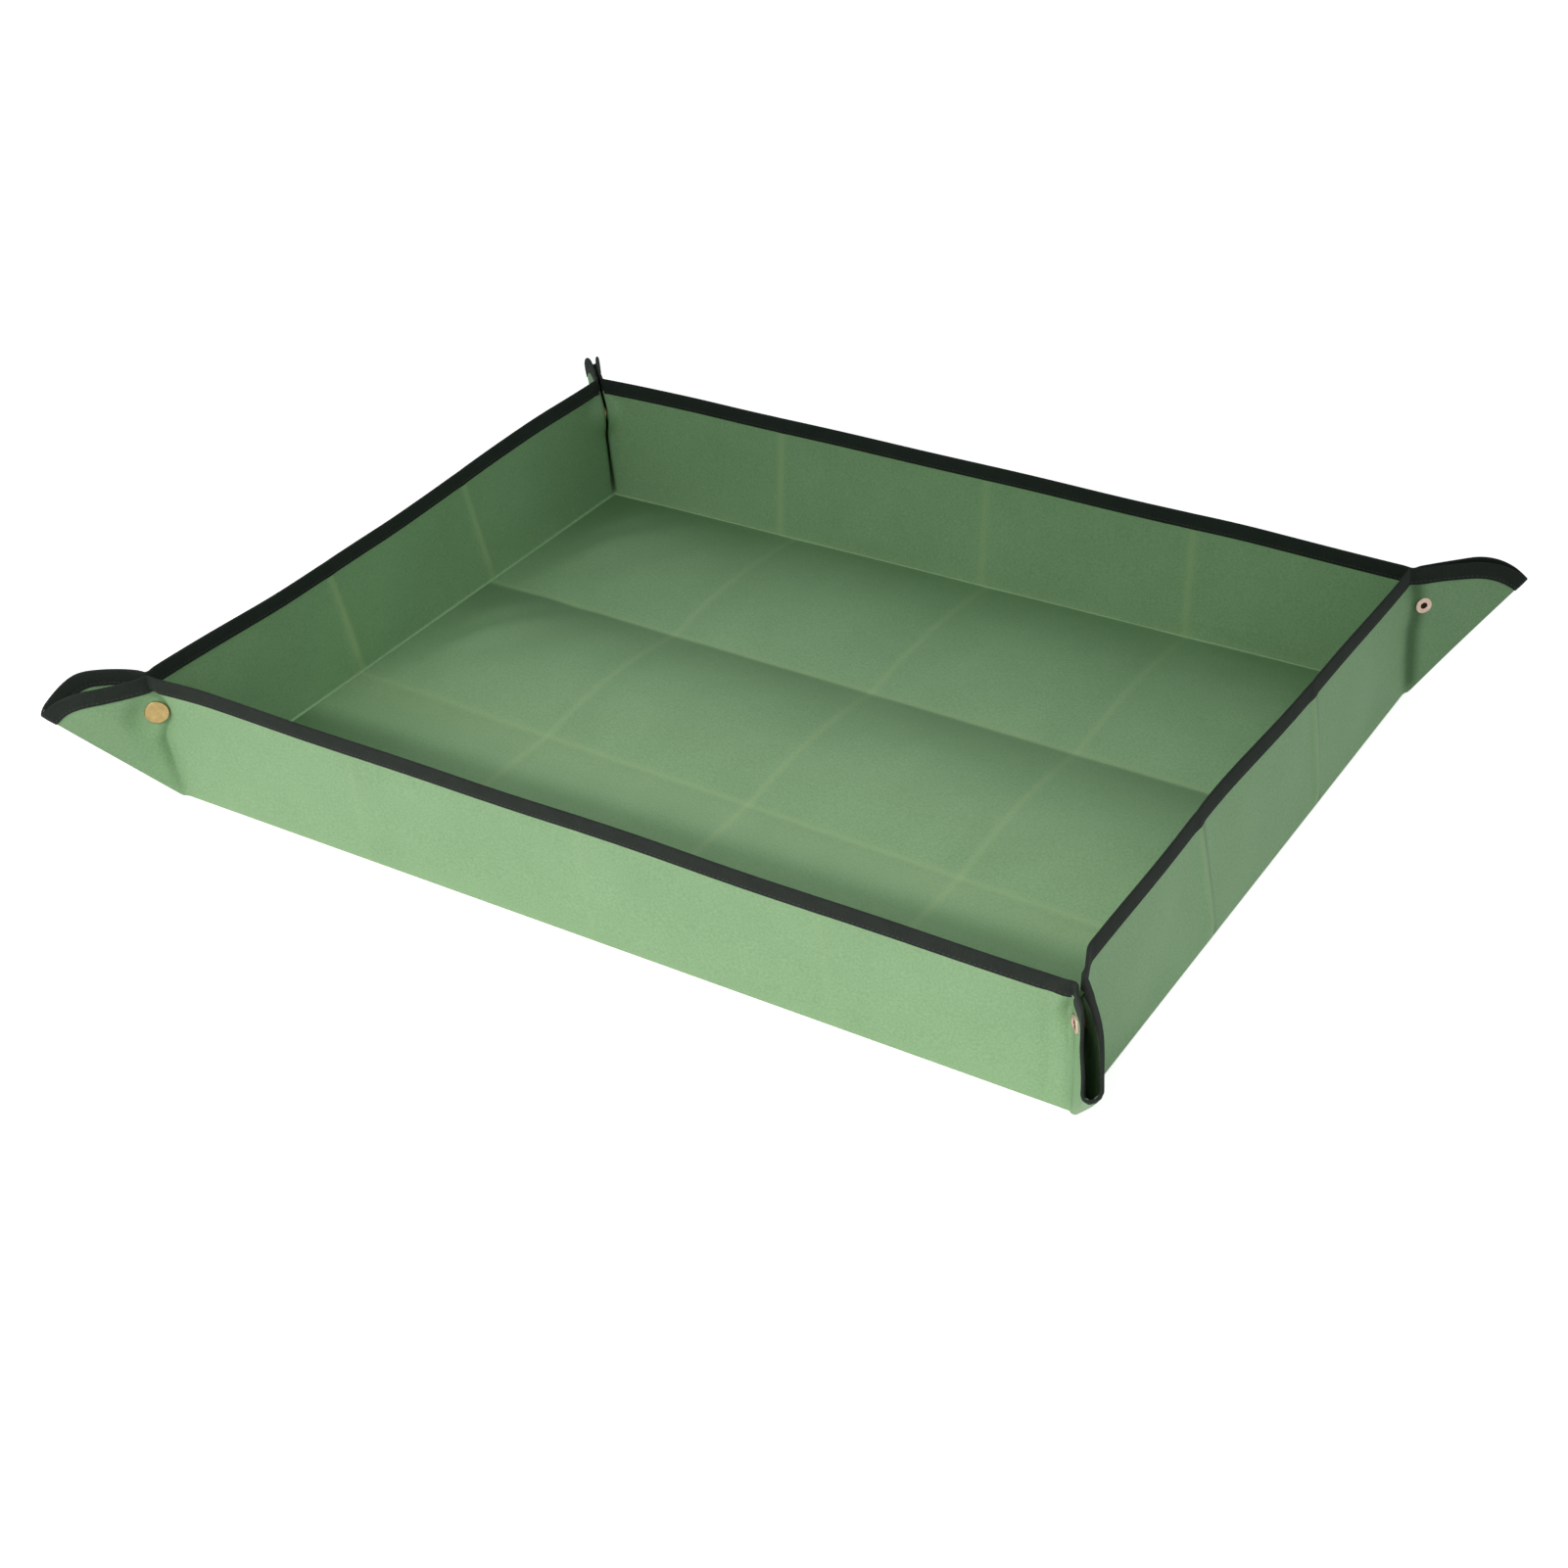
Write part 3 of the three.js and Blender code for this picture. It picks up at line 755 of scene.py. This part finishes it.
# %% Shape the walls
WALL_ROWS = 29
CREASE_REACH = 22 * MM
CLOTH_INSET = 0.9 * MM
UNDERLAP_DEPTH = 0.95 * MM
STUD_ROOM = 4 * MM
STUD_CLEARING = 20 * MM
STUD_CUTBACK = 0.5
FOOT_ROOM = 4 * MM
TAPE_COVER = 1.5 * MM
TAPE_PAINTED_HIGHLIGHT = 0.3
TAPE_PAINTED_HIGHLIGHT_HEIGHT = 1.5 * MM
BASE_WEAR_AND_HIGHLIGHT = {"front_wall": 0.4, "right_wall": 0.2, "back_wall": 0.4, "left_wall": 0.1}
WALL_WEAR_AND_HIGHLIGHT_SHARE = 0.4
WALL_WEAR_AND_HIGHLIGHT_HEIGHT = 6 * MM
base_top = cloth_thickness / 2 + FLOOR_CREASE_RADIUS
tape_foot = wall_height - tape_reach


def cut_back(name, x, z):
    """Trims what runs past the bends: shorter at the press stud, above the foot, below the tape."""
    past = np.maximum(np.abs(x) - WALLS[name]["bend_start"], 0)
    near_stud = 1 - soft_step((np.abs(z - snap_v) - STUD_ROOM) / STUD_CLEARING)
    x = np.sign(x) * (np.abs(x) - past * STUD_CUTBACK * near_stud)
    foot = np.maximum(np.abs(x) - WALLS[name]["fold"] - crease_shift + FOOT_ROOM, base_top)
    return x, np.where(past > 0, np.minimum(np.maximum(z, foot), tape_foot + TAPE_COVER), z)


for name, wall in WALLS.items():
    middles = [(rim + base) / 2 for rim, base, ridge, rubbed_and_lit in CREASES[name]]
    places = spaced_places(wall["bend_start"], middles, reach=CREASE_REACH)
    levels = np.linspace(base_top, wall_height - CLOTH_INSET, WALL_ROWS)
    grid = np.meshgrid(lapped_places(name, places), levels, indexing="ij")
    grid_x, grid_z = cut_back(name, *grid)
    # Creases and the foot are lighter, partly wear and partly a painted highlight.
    wear = sum(share ** 2 * rubbed_and_lit for share, ridge, rubbed_and_lit in crease_shares(name, grid_x, grid_z))
    # Just below the tape the cloth carries a painted highlight.
    wear = wear + TAPE_PAINTED_HIGHLIGHT * bell(tape_foot - grid_z, TAPE_PAINTED_HIGHLIGHT_HEIGHT)
    wear = wear + BASE_WEAR_AND_HIGHLIGHT[name] * WALL_WEAR_AND_HIGHLIGHT_SHARE * bell(grid_z, WALL_WEAR_AND_HIGHLIGHT_HEIGHT)
    cloth = strip_cloth(name, name, grid_x, grid_z, wear, UNDERLAP_DEPTH)
    print(name, "cloth with", len(cloth.data.polygons), "faces")

# %% [markdown]
# ## Base creases
# Between floor and wall the sheet turns through a right angle in a tight round crease, which is
# lighter, partly from rubbing and partly as a painted highlight. That strip belongs to the floor on
# one side and to the wall on the other, so it is a piece of its own.

# %% Shape the base creases
CREASE_STEPS = 6
STRAIGHT_COLUMNS = 60
BEND_COLUMNS = 9
turns = np.linspace(0, QUARTER, CREASE_STEPS + 1)
even = turns / QUARTER
for name, wall in WALLS.items():
    bend_start = wall["bend_start"]
    bend = np.linspace(bend_start, wall["fold"] + crease_shift + base_top, BEND_COLUMNS)[1:]
    straight = np.linspace(-bend_start, bend_start, STRAIGHT_COLUMNS)
    places = np.sort(np.concatenate((straight, bend, -bend)))
    limit = wall["reach"] - cloth_thickness / 2 - FLOOR_CREASE_RADIUS
    inner = np.clip(places, -limit, limit)[:, None] * wall["along"]
    inner = inner + (wall["middle"] - FLOOR_CREASE_RADIUS) * wall["outward"]
    inner[:, 2] = cloth_thickness / 2
    across = strip_points(name, places, np.full_like(places, base_top)) - inner
    rise = across[:, 2].copy()
    across[:, 2] = 0
    slope = soft_step((np.abs(places) - bend_start) / (2 * BEND_TANGENT))[:, None]
    reach = np.sin(turns) * (1 - slope) + even * slope
    lift = (1 - np.cos(turns)) * (1 - slope) + even * slope
    points = inner[:, None, :] + across[:, None, :] * reach[..., None]
    points[..., 2] += rise[:, None] * lift
    flat = np.stack(np.broadcast_arrays(places[:, None], turns * FLOOR_CREASE_RADIUS), axis=-1)
    # The crease is lighter round its turn, partly wear and partly a painted highlight.
    wear = np.broadcast_to(BASE_WEAR_AND_HIGHLIGHT[name] * np.sin(2 * turns), points.shape[:2])
    crease = grid_piece(f"{name}_base_crease", points, flat, wear=wear)
    thicken(crease, cloth_thickness, cloth_finish)
    hinge = Vector(wall["outward"]) * wall["middle"]
    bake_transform(crease)
    pieces_of[name].append(crease)
print("four base creases of", len(crease.data.polygons), "faces")

# %% [markdown]
# ## Ears
# At each corner the spare cloth is pinched into an ear: two layers, joined along a diagonal crease at
# the foot and open at the rim like a narrow pocket. Each half is a grid of upright columns that get
# shorter towards the tip. The rows crowd together at the crease, where the cloth rolls over to meet
# the other half, so that the foot of the pocket is round and not sharp.

# %% Shape the ears
BEND_STEPS = 11
EAR_STEPS = 34
EAR_ROLL_ROWS = 9
EAR_ROWS = 22
ROLL_LIMIT = 0.6
EAR_WEAR_AND_HIGHLIGHT = 0.3
EAR_WEAR_AND_HIGHLIGHT_WIDTH = 1.5 * MM
bend_u = np.linspace(-BEND_TANGENT, BEND_TANGENT, BEND_STEPS)
ear_faces = {}


def ear_columns(top_radius):
    """Column places of an ear half and, for each, the rows from crease to edge."""
    tip = edge_centre_u + top_radius * math.cos(EAR_TURN)
    u = np.concatenate((bend_u, np.linspace(BEND_TANGENT, tip, EAR_STEPS)[1:]))
    low = np.maximum(base_top, u - crease_shift)
    arc = np.sqrt(np.maximum(top_radius ** 2 - np.maximum(u - edge_centre_u, 0) ** 2, 0))
    top = np.maximum(edge_centre_v + arc, low)
    roll = np.minimum(math.sqrt(2) * ear_round(u), ROLL_LIMIT * (top - low))
    start = low[:, None] + roll[:, None] * (1 - np.cos(np.linspace(0, QUARTER, EAR_ROLL_ROWS)))
    rest = np.linspace(0, 1, EAR_ROWS)[1:] * (top - low - roll)[:, None] + (low + roll)[:, None]
    v = np.concatenate((start, rest), axis=1)
    return np.broadcast_to(u[:, None], v.shape), v


ear_u, ear_v = ear_columns(SHEET_CORNER_RADIUS - CLOTH_INSET)
# The diagonal crease is lighter, partly wear and partly a painted highlight.
ear_wear = EAR_WEAR_AND_HIGHLIGHT * bell(crease_distance(ear_u, ear_v), EAR_WEAR_AND_HIGHLIGHT_WIDTH)
for name, wall in WALLS.items():
    for side, ear in zip((-1, 1), wall["ear_names"]):
        outward = wall["outward"] * math.cos(EAR_TURN) - side * wall["along"] * math.sin(EAR_TURN)
        ear_faces[ear] = (side, outward)
        ear_x = side * (wall["fold"] + ear_u)
        cloth = strip_cloth(name, ear, ear_x[::side], ear_v[::side], ear_wear[::side])
print("eight ear halves of", len(cloth.data.polygons), "faces")

# %% [markdown]
# ## Tape finish
# The binding is a black woven tape: not quite black, dull, with fine ribs across it and a little fuzz
# that catches the light. Two noises vary its tone, and waves along its own UV map raise the ribs.

# %% Black woven tape
RIB_PERIOD = 1.1 * MM
tape_finish, tree, shader = finish_start("binding_tape_black")
places = new_node(tree, "TexCoord", {}).outputs
ribs = wave_node(tree, places["UV"], "X", RIB_PERIOD)
fuzz = noise_node(tree, places["Object"], scale=900, detail=3)
patches = noise_node(tree, places["Object"], scale=60, detail=3)
tone = value_mix(tree, "ADD", range_node(tree, fuzz, 0.0, 0.6), range_node(tree, patches, 0.0, 0.4))
black = colour_mix(tree, tone, paint(30, 35, 32), paint(57, 65, 59))
relief = bump_node(tree, ribs, distance=0.25 * MM, strength=0.6)
relief = bump_node(tree, fuzz, distance=0.3 * MM, strength=0.35, below=relief)
set_sockets(tree, shader, {"Base Color": black, "Roughness": range_node(tree, fuzz, 0.72, 0.92),
                           "Specular IOR Level": 0.06, "Sheen Weight": 0.04, "Normal": relief})
print("tape finish with", len(tree.nodes), "nodes")

# %% [markdown]
# ## Binding
# The tape is folded over the raw edge of the sheet, so it has a leg outside, a round back over the
# edge and a leg inside. For each wall and ear half a patch of points is laid on the cloth along its
# edge. The patch's own normals say which way is off the cloth, and the section is laid over them.
# A wall's tape runs on inside the ears as its cloth does, and is drawn in there, so that it nests in
# the tape of the ear.

# %% Helpers for the tape
TAPE_GAP = 0.05 * MM
TAPE_SWELL = 0.18 * MM
GROOVE_DEPTH = 0.16 * MM
GROOVE_WIDTH = 0.6 * MM
BACK_STEPS = 6
STITCH_INSET = 2.6 * MM
LEG_MARKS = (0, 1.0, 3.0, 5.5, 8.0, 9.3, 9.9, 10.5, 11.6, 12.3)
leg_depths = np.array(LEG_MARKS) / LEG_MARKS[-1] * tape_reach
stitch_depth = tape_reach - STITCH_INSET
tape_offset = cloth_thickness / 2 + TAPE_GAP + TAPE_THICKNESS / 2


def unit(vectors):
    return vectors / np.maximum(np.linalg.norm(vectors, axis=-1, keepdims=True), 1e-12)


def tape_section(points, slim):
    """Section rows over a patch points[column, depth], from the outer leg's foot to the inner one's.

    slim is how far each column is drawn in, to fit inside the tape of an ear.
    """
    along = np.gradient(points, axis=0)
    down = np.gradient(points, axis=1)
    normal = unit(np.cross(along, -down))
    over = unit(-down[:, 0])
    swell = TAPE_SWELL * np.sin(np.pi * leg_depths / tape_reach)
    groove = GROOVE_DEPTH * bell(leg_depths - stitch_depth, GROOVE_WIDTH)
    stand = (tape_offset + swell - groove)[None, :] - slim[:, None]
    legs = [points + sign * normal * stand[..., None] for sign in (1, -1)]
    turns = np.linspace(0, math.pi, BACK_STEPS + 1)[1:-1]
    round_back = np.cos(turns)[None, :, None] * normal[:, :1] + np.sin(turns)[None, :, None] * over[:, None]
    back = points[:, :1] + (tape_offset - slim)[:, None, None] * round_back
    return np.concatenate((legs[0][:, ::-1], back, legs[1]), axis=1), normal


def tape_flat(points):
    """Places on the flat tape, along and across, in metres."""
    steps = np.linalg.norm(np.diff(points, axis=0), axis=-1)
    along = np.concatenate((np.zeros((1, points.shape[1])), np.cumsum(steps, axis=0)))
    middle = np.broadcast_to(along[:, along.shape[1] // 2][:, None], along.shape)
    steps = np.linalg.norm(np.diff(points, axis=1), axis=-1)
    across = np.concatenate((np.zeros((points.shape[0], 1)), np.cumsum(steps, axis=1)), axis=1)
    return np.stack((middle, across), axis=-1)


# %% Patches along the edges
TAPE_NESTING = 0.35 * MM
TAPE_COLUMN = 3.5 * MM
EDGE_STEPS = 16
ARC_STEPS = 18
TIP_STEPS = 10


def wall_edge_patch(name):
    """A patch along a wall's rim, and how far its columns are drawn in past the bends."""
    end = WALLS[name]["bend_start"]
    places = lapped_places(name, np.linspace(-end, end, round(2 * end / TAPE_COLUMN)))
    grid_x, depth = np.meshgrid(places, leg_depths, indexing="ij")
    slim = TAPE_NESTING * soft_step((np.abs(places) - end) / BEND_TANGENT)
    return strip_points(name, grid_x, wall_height - tape_offset - depth), slim


def ear_edge_patch(name, side):
    """A patch along the straight edge and the rounded corner of an ear half, up to its tip."""
    radius = SHEET_CORNER_RADIUS - tape_offset
    roll_angle = ear_round(ear_tip) / radius
    straight = np.concatenate((bend_u, np.linspace(BEND_TANGENT, edge_centre_u, EDGE_STEPS)[1:-1]))
    roll = roll_angle * (1 - np.sin(np.linspace(0, QUARTER, TIP_STEPS)[1:]))
    turns = np.concatenate((np.linspace(QUARTER, EAR_TURN + roll_angle, ARC_STEPS), EAR_TURN + roll))
    straight_u, depth = np.meshgrid(straight, leg_depths, indexing="ij")
    turn, arc_depth = np.meshgrid(turns, leg_depths, indexing="ij")
    arc = radius - arc_depth
    u = np.concatenate((straight_u, edge_centre_u + arc * np.cos(turn)))
    v = np.concatenate((wall_height - tape_offset - depth, edge_centre_v + arc * np.sin(turn)))
    return strip_points(name, (side * (WALLS[name]["fold"] + u))[::side], v[::side])


# %% Sew on the tape
tape_runs = {}


def bind_edge(body, patch, slim, outward):
    section, normal = tape_section(patch, slim)
    tape = grid_piece(f"{body}_tape", section, tape_flat(section))
    thicken(tape, TAPE_THICKNESS, tape_finish)
    lie_flat(tape, body)
    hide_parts(f"{body}_binding")
    pieces_of[body].append(tape)
    shown = slim == 0
    tape_runs[body] = (patch[shown], normal[shown], outward)
    return tape


for name, wall in WALLS.items():
    patch, slim = wall_edge_patch(name)
    tape = bind_edge(name, patch, slim, wall["outward"])
    print(name, "tape with", len(tape.data.polygons), "faces")
    for ear in wall["ear_names"]:
        side, outward = ear_faces[ear]
        patch = ear_edge_patch(name, side)
        tape = bind_edge(ear, patch, np.zeros(len(patch)), outward)
print("ear tape with", len(tape.data.polygons), "faces")

# %% [markdown]
# ## Stitching
# A lockstitch holds the tape down close to its inner edge, on both faces of the cloth. Each stitch is
# a short grain of black thread. One grain is made from a small sphere, drawn out to the length of a
# stitch, and copied along the tape, because there are some two thousand of them.

# %% Thread finish
thread_finish, tree, shader = finish_start("sewing_thread_black")
fibre = noise_node(tree, new_node(tree, "TexCoord", {}).outputs["Object"], scale=1500)
set_sockets(tree, shader, {"Base Color": colour_mix(tree, fibre, paint(26, 30, 28), paint(54, 60, 56)),
                           "Roughness": range_node(tree, fibre, 0.45, 0.65),
                           "Normal": bump_node(tree, fibre, distance=0.1 * MM, strength=0.4)})
print("thread finish with", len(tree.nodes), "nodes")

# %% One stitch
STITCH_LENGTH = 2.7 * MM
THREAD_RADIUS = 0.3 * MM
bpy.ops.object.select_all(action="DESELECT")
bpy.ops.mesh.primitive_uv_sphere_add(segments=6, ring_count=4, radius=1)
stitch = bpy.context.object
bpy.ops.object.mode_set(mode="EDIT")
bpy.ops.mesh.select_all(action="SELECT")
bpy.ops.transform.resize(value=(THREAD_RADIUS, THREAD_RADIUS, STITCH_LENGTH / 2))
bpy.ops.object.mode_set(mode="OBJECT")
stitch_points = np.array([vertex.co for vertex in stitch.data.vertices])
stitch_faces = [list(polygon.vertices) for polygon in stitch.data.polygons]
bpy.data.objects.remove(stitch)
print("one stitch has", len(stitch_faces), "faces")

# %% Copy the stitch along each tape
STITCH_PITCH = 3.7 * MM
HALF_STEP = 0.5 * MM


def at_run(run, lengths, values):
    return np.stack([np.interp(run, lengths, values[:, axis]) for axis in range(3)], axis=-1)


def stitch_tape(body):
    """Sews one tape, on both faces, and gives the number of its stitches."""
    patch, normal, outward = tape_runs[body]
    row = int(np.argmin(np.abs(leg_depths - stitch_depth)))
    line, off = patch[:, row], normal[:, row]
    lengths = np.concatenate(([0], np.cumsum(np.linalg.norm(np.diff(line, axis=0), axis=-1))))
    count = max(int(lengths[-1] / STITCH_PITCH), 1)
    run = (np.arange(count) + 0.5) * lengths[-1] / count
    middle = at_run(run, lengths, line)
    along = unit(at_run(run + HALF_STEP, lengths, line) - at_run(run - HALF_STEP, lengths, line))
    away = unit(at_run(run, lengths, off))
    stand = tape_offset + TAPE_THICKNESS / 2
    points, faces = [], []
    for sign in (1, -1):
        for place, forward, up in zip(middle, along, away * sign):
            first = len(points) * len(stitch_points)
            turned = stitch_points @ np.stack((np.cross(up, forward), up, forward))
            points.append(turned + place + up * stand)
            faces += [[first + index for index in face] for face in stitch_faces]
    mesh = bpy.data.meshes.new(f"{body}_stitching")
    mesh.from_pydata(np.concatenate(points).tolist(), [], faces)
    piece = bpy.data.objects.new(mesh.name, mesh)
    bpy.context.scene.collection.objects.link(piece)
    bpy.ops.object.select_all(action="DESELECT")
    bpy.context.view_layer.objects.active = piece
    piece.select_set(True)
    bpy.ops.object.mode_set(mode="EDIT")
    bpy.ops.mesh.select_all(action="SELECT")
    bpy.ops.mesh.normals_make_consistent(inside=False)
    bpy.ops.object.mode_set(mode="OBJECT")
    bpy.ops.object.shade_smooth()
    piece.data.materials.append(thread_finish)
    lie_flat(piece, body)
    pieces_of[body].append(piece)
    return 2 * count


print("stitches", sum(stitch_tape(body) for body in tape_runs))

# %% [markdown]
# ## Press-stud finishes
# The caps are pale brass and the posts look like pinkish copper. Both have been handled, so their
# gloss varies a little, and the bore of the post carries painted shade. Metal has no colour of its
# own to mix, so the noise drives roughness and a slight change of tint.

# %% Brass and copper
METAL_ROUGHNESS = (0.34, 0.52)


def metal_finish(name, bright, dull):
    material, tree, shader = finish_start(name)
    places = new_node(tree, "TexCoord", {}).outputs
    tarnish = noise_node(tree, places["Object"], scale=260, detail=4, roughness=0.6)
    scuffs = noise_node(tree, places["Object"], scale=1800)
    tint = colour_mix(tree, tarnish, bright, dull)
    # The bore of the post is painted dark, as shade.
    tint = colour_mix(tree, mesh_share(tree, "painted_bore_shade"), tint, paint(38, 26, 22))
    set_sockets(tree, shader, {"Base Color": tint, "Metallic": 1,
                               "Roughness": range_node(tree, tarnish, *METAL_ROUGHNESS),
                               "Normal": bump_node(tree, scuffs, distance=0.05 * MM, strength=0.2)})
    return material


brass_finish = metal_finish("brass_cap_pale", paint(192, 172, 118), paint(150, 122, 78))
copper_finish = metal_finish("copper_post_pink", paint(214, 194, 178), paint(166, 136, 118))
print("two metal finishes")

# %% [markdown]
# ## Press studs
# Each stud has four turned pieces. On one ear layer a domed cap outside is riveted to a socket
# inside; on the other layer an open post, the ring with a hole, is riveted to a stud that clicks into
# the socket. A lathe profile would do, but the same thing is done here by hand: a circle of edges is
# pulled along the axis and scaled, ring after ring, until the outline is turned.

# %% Turn a piece
TURNED_SIDES = 40
TURNED_ANGLE = math.radians(50)
TURNED_MERGE = 0.01 * MM


def turned_piece(name, profile, closed, bore):
    """Extrudes and scales a circle through profile, pairs of radius and height in millimetres.

    A closed profile ends where it starts, as a ring does. What lies within the bore is marked for painted
    shade.
    """
    extrude = bpy.ops.mesh.extrude_edges_move if closed else bpy.ops.mesh.extrude_region_move
    first_radius, first_height = profile[0]
    bpy.ops.object.select_all(action="DESELECT")
    bpy.ops.mesh.primitive_circle_add(vertices=TURNED_SIDES, radius=first_radius * MM, location=(0, 0, 0))
    piece = bpy.context.object
    piece.name = piece.data.name = name
    bpy.ops.object.mode_set(mode="EDIT")
    bpy.ops.mesh.select_all(action="SELECT")
    bpy.ops.transform.translate(value=(0, 0, first_height * MM))
    if not closed:
        bpy.ops.mesh.edge_face_add()
    for (radius, height), (next_radius, next_height) in zip(profile, profile[1:]):
        extrude()
        bpy.ops.transform.translate(value=(0, 0, (next_height - height) * MM))
        ratio = next_radius / radius
        bpy.ops.transform.resize(value=(ratio, ratio, 1))
    bpy.ops.mesh.select_all(action="SELECT")
    bpy.ops.mesh.remove_doubles(threshold=TURNED_MERGE)
    bpy.ops.mesh.normals_make_consistent(inside=False)
    bpy.ops.object.mode_set(mode="OBJECT")
    bpy.ops.object.shade_smooth_by_angle(angle=TURNED_ANGLE)
    radii = np.array([math.hypot(vertex.co.x, vertex.co.y) for vertex in piece.data.vertices]) / MM
    dark = (radii < bore).astype(np.float32)
    piece.data.attributes.new("painted_bore_shade", "FLOAT", "POINT").data.foreach_set("value", dark)
    return piece


# %% Profiles of the four pieces
CAP_PROFILE = ((8.2, 0.0), (9.1, 0.0), (9.4, 0.15), (9.5, 0.45), (9.35, 0.8), (8.8, 1.05), (8.1, 1.12),
               (7.6, 0.98), (7.1, 1.02), (5.9, 1.30), (4.1, 1.52), (2.1, 1.62), (0.6, 1.64))
SOCKET_PROFILE = ((4.4, 3.0), (5.4, 3.0), (5.8, 2.8), (5.9, 2.4), (5.7, 1.9), (5.9, 1.2), (5.9, 0.4),
                  (5.7, 0.0), (2.2, 0.0), (2.2, 0.5), (4.2, 0.5), (4.4, 0.9), (4.3, 1.6), (4.15, 2.0),
                  (4.3, 2.5), (4.4, 3.0))
POST_PROFILE = ((6.6, 0.0), (6.75, 0.15), (6.6, 0.5), (5.9, 0.9), (4.8, 1.1), (3.7, 1.0), (3.0, 0.75),
                (2.6, 0.4), (2.5, 0.1), (0.6, 0.1))
STUD_PROFILE = ((2.0, 0.0), (5.2, 0.0), (5.5, 0.2), (5.5, 0.55), (5.2, 0.8), (4.0, 0.85), (3.5, 1.1),
                (3.4, 1.5), (3.65, 2.1), (3.6, 2.5), (3.2, 2.75), (2.4, 2.8), (2.0, 2.5), (2.0, 0.0))
POST_BORE = 2.55
# Each piece: its profile, whether that is closed, its bore, the face of the ear that it is on (1 is
# outside), its finish and its slot.
STUD_PIECES = {
    "cap": (CAP_PROFILE, False, 0, 1, brass_finish, "brass_cap"),
    "socket": (SOCKET_PROFILE, True, 0, -1, brass_finish, "brass_cap"),
    "post": (POST_PROFILE, False, POST_BORE, 1, copper_finish, "copper_toned_post"),
    "stud": (STUD_PROFILE, True, 0, -1, copper_finish, "copper_toned_post"),
}
# At each corner, the ear half with the cap and socket, and the one with the post and stud.
STUD_EARS = {
    "front_left": ("front_wall_left_ear", "left_wall_front_ear"),
    "front_right": ("right_wall_front_ear", "front_wall_right_ear"),
    "back_right": ("back_wall_right_ear", "right_wall_back_ear"),
    "back_left": ("left_wall_back_ear", "back_wall_left_ear"),
}
print("stud pieces", list(STUD_PIECES))

# %% Set the press studs
for corner, (cap_ear, post_ear) in STUD_EARS.items():
    for kind, (profile, closed, bore, face, finish, slot) in STUD_PIECES.items():
        ear = cap_ear if kind in ("cap", "socket") else post_ear
        node = f"{corner}_snap_{kind}"
        low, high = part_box(node)
        outward = Vector(ear_faces[ear][1])
        hinge = joint_place[f"{ear}_fold"]
        centre = (low + high) / 2
        on_plane = centre - outward * (centre - hinge).dot(outward)
        piece = turned_piece(f"{corner}_{kind}", profile, closed, bore)
        piece.rotation_euler = (outward * face).to_track_quat("Z", "X").to_euler()
        piece.location = on_plane + outward * face * (cloth_thickness / 2)
        bpy.ops.object.transform_apply(location=True, rotation=True, scale=True)
        piece.data.materials.append(finish)
        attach(piece, ear)
        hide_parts(node)
        pieces_of[ear].append(piece)
print("press studs", len(STUD_EARS) * len(STUD_PIECES), "pieces")

# %% [markdown]
# The whole sheet would be cut as one rounded rectangle of about a metre by eight tenths. Here it is
# divided at its folds, and each part says the flat size that it was cut to.

# %% Flat sizes
for name, wall in WALLS.items():
    cloth, crease, *others = pieces_of[name]
    for ear in wall["ear_names"]:
        cloth, *others = pieces_of[ear]
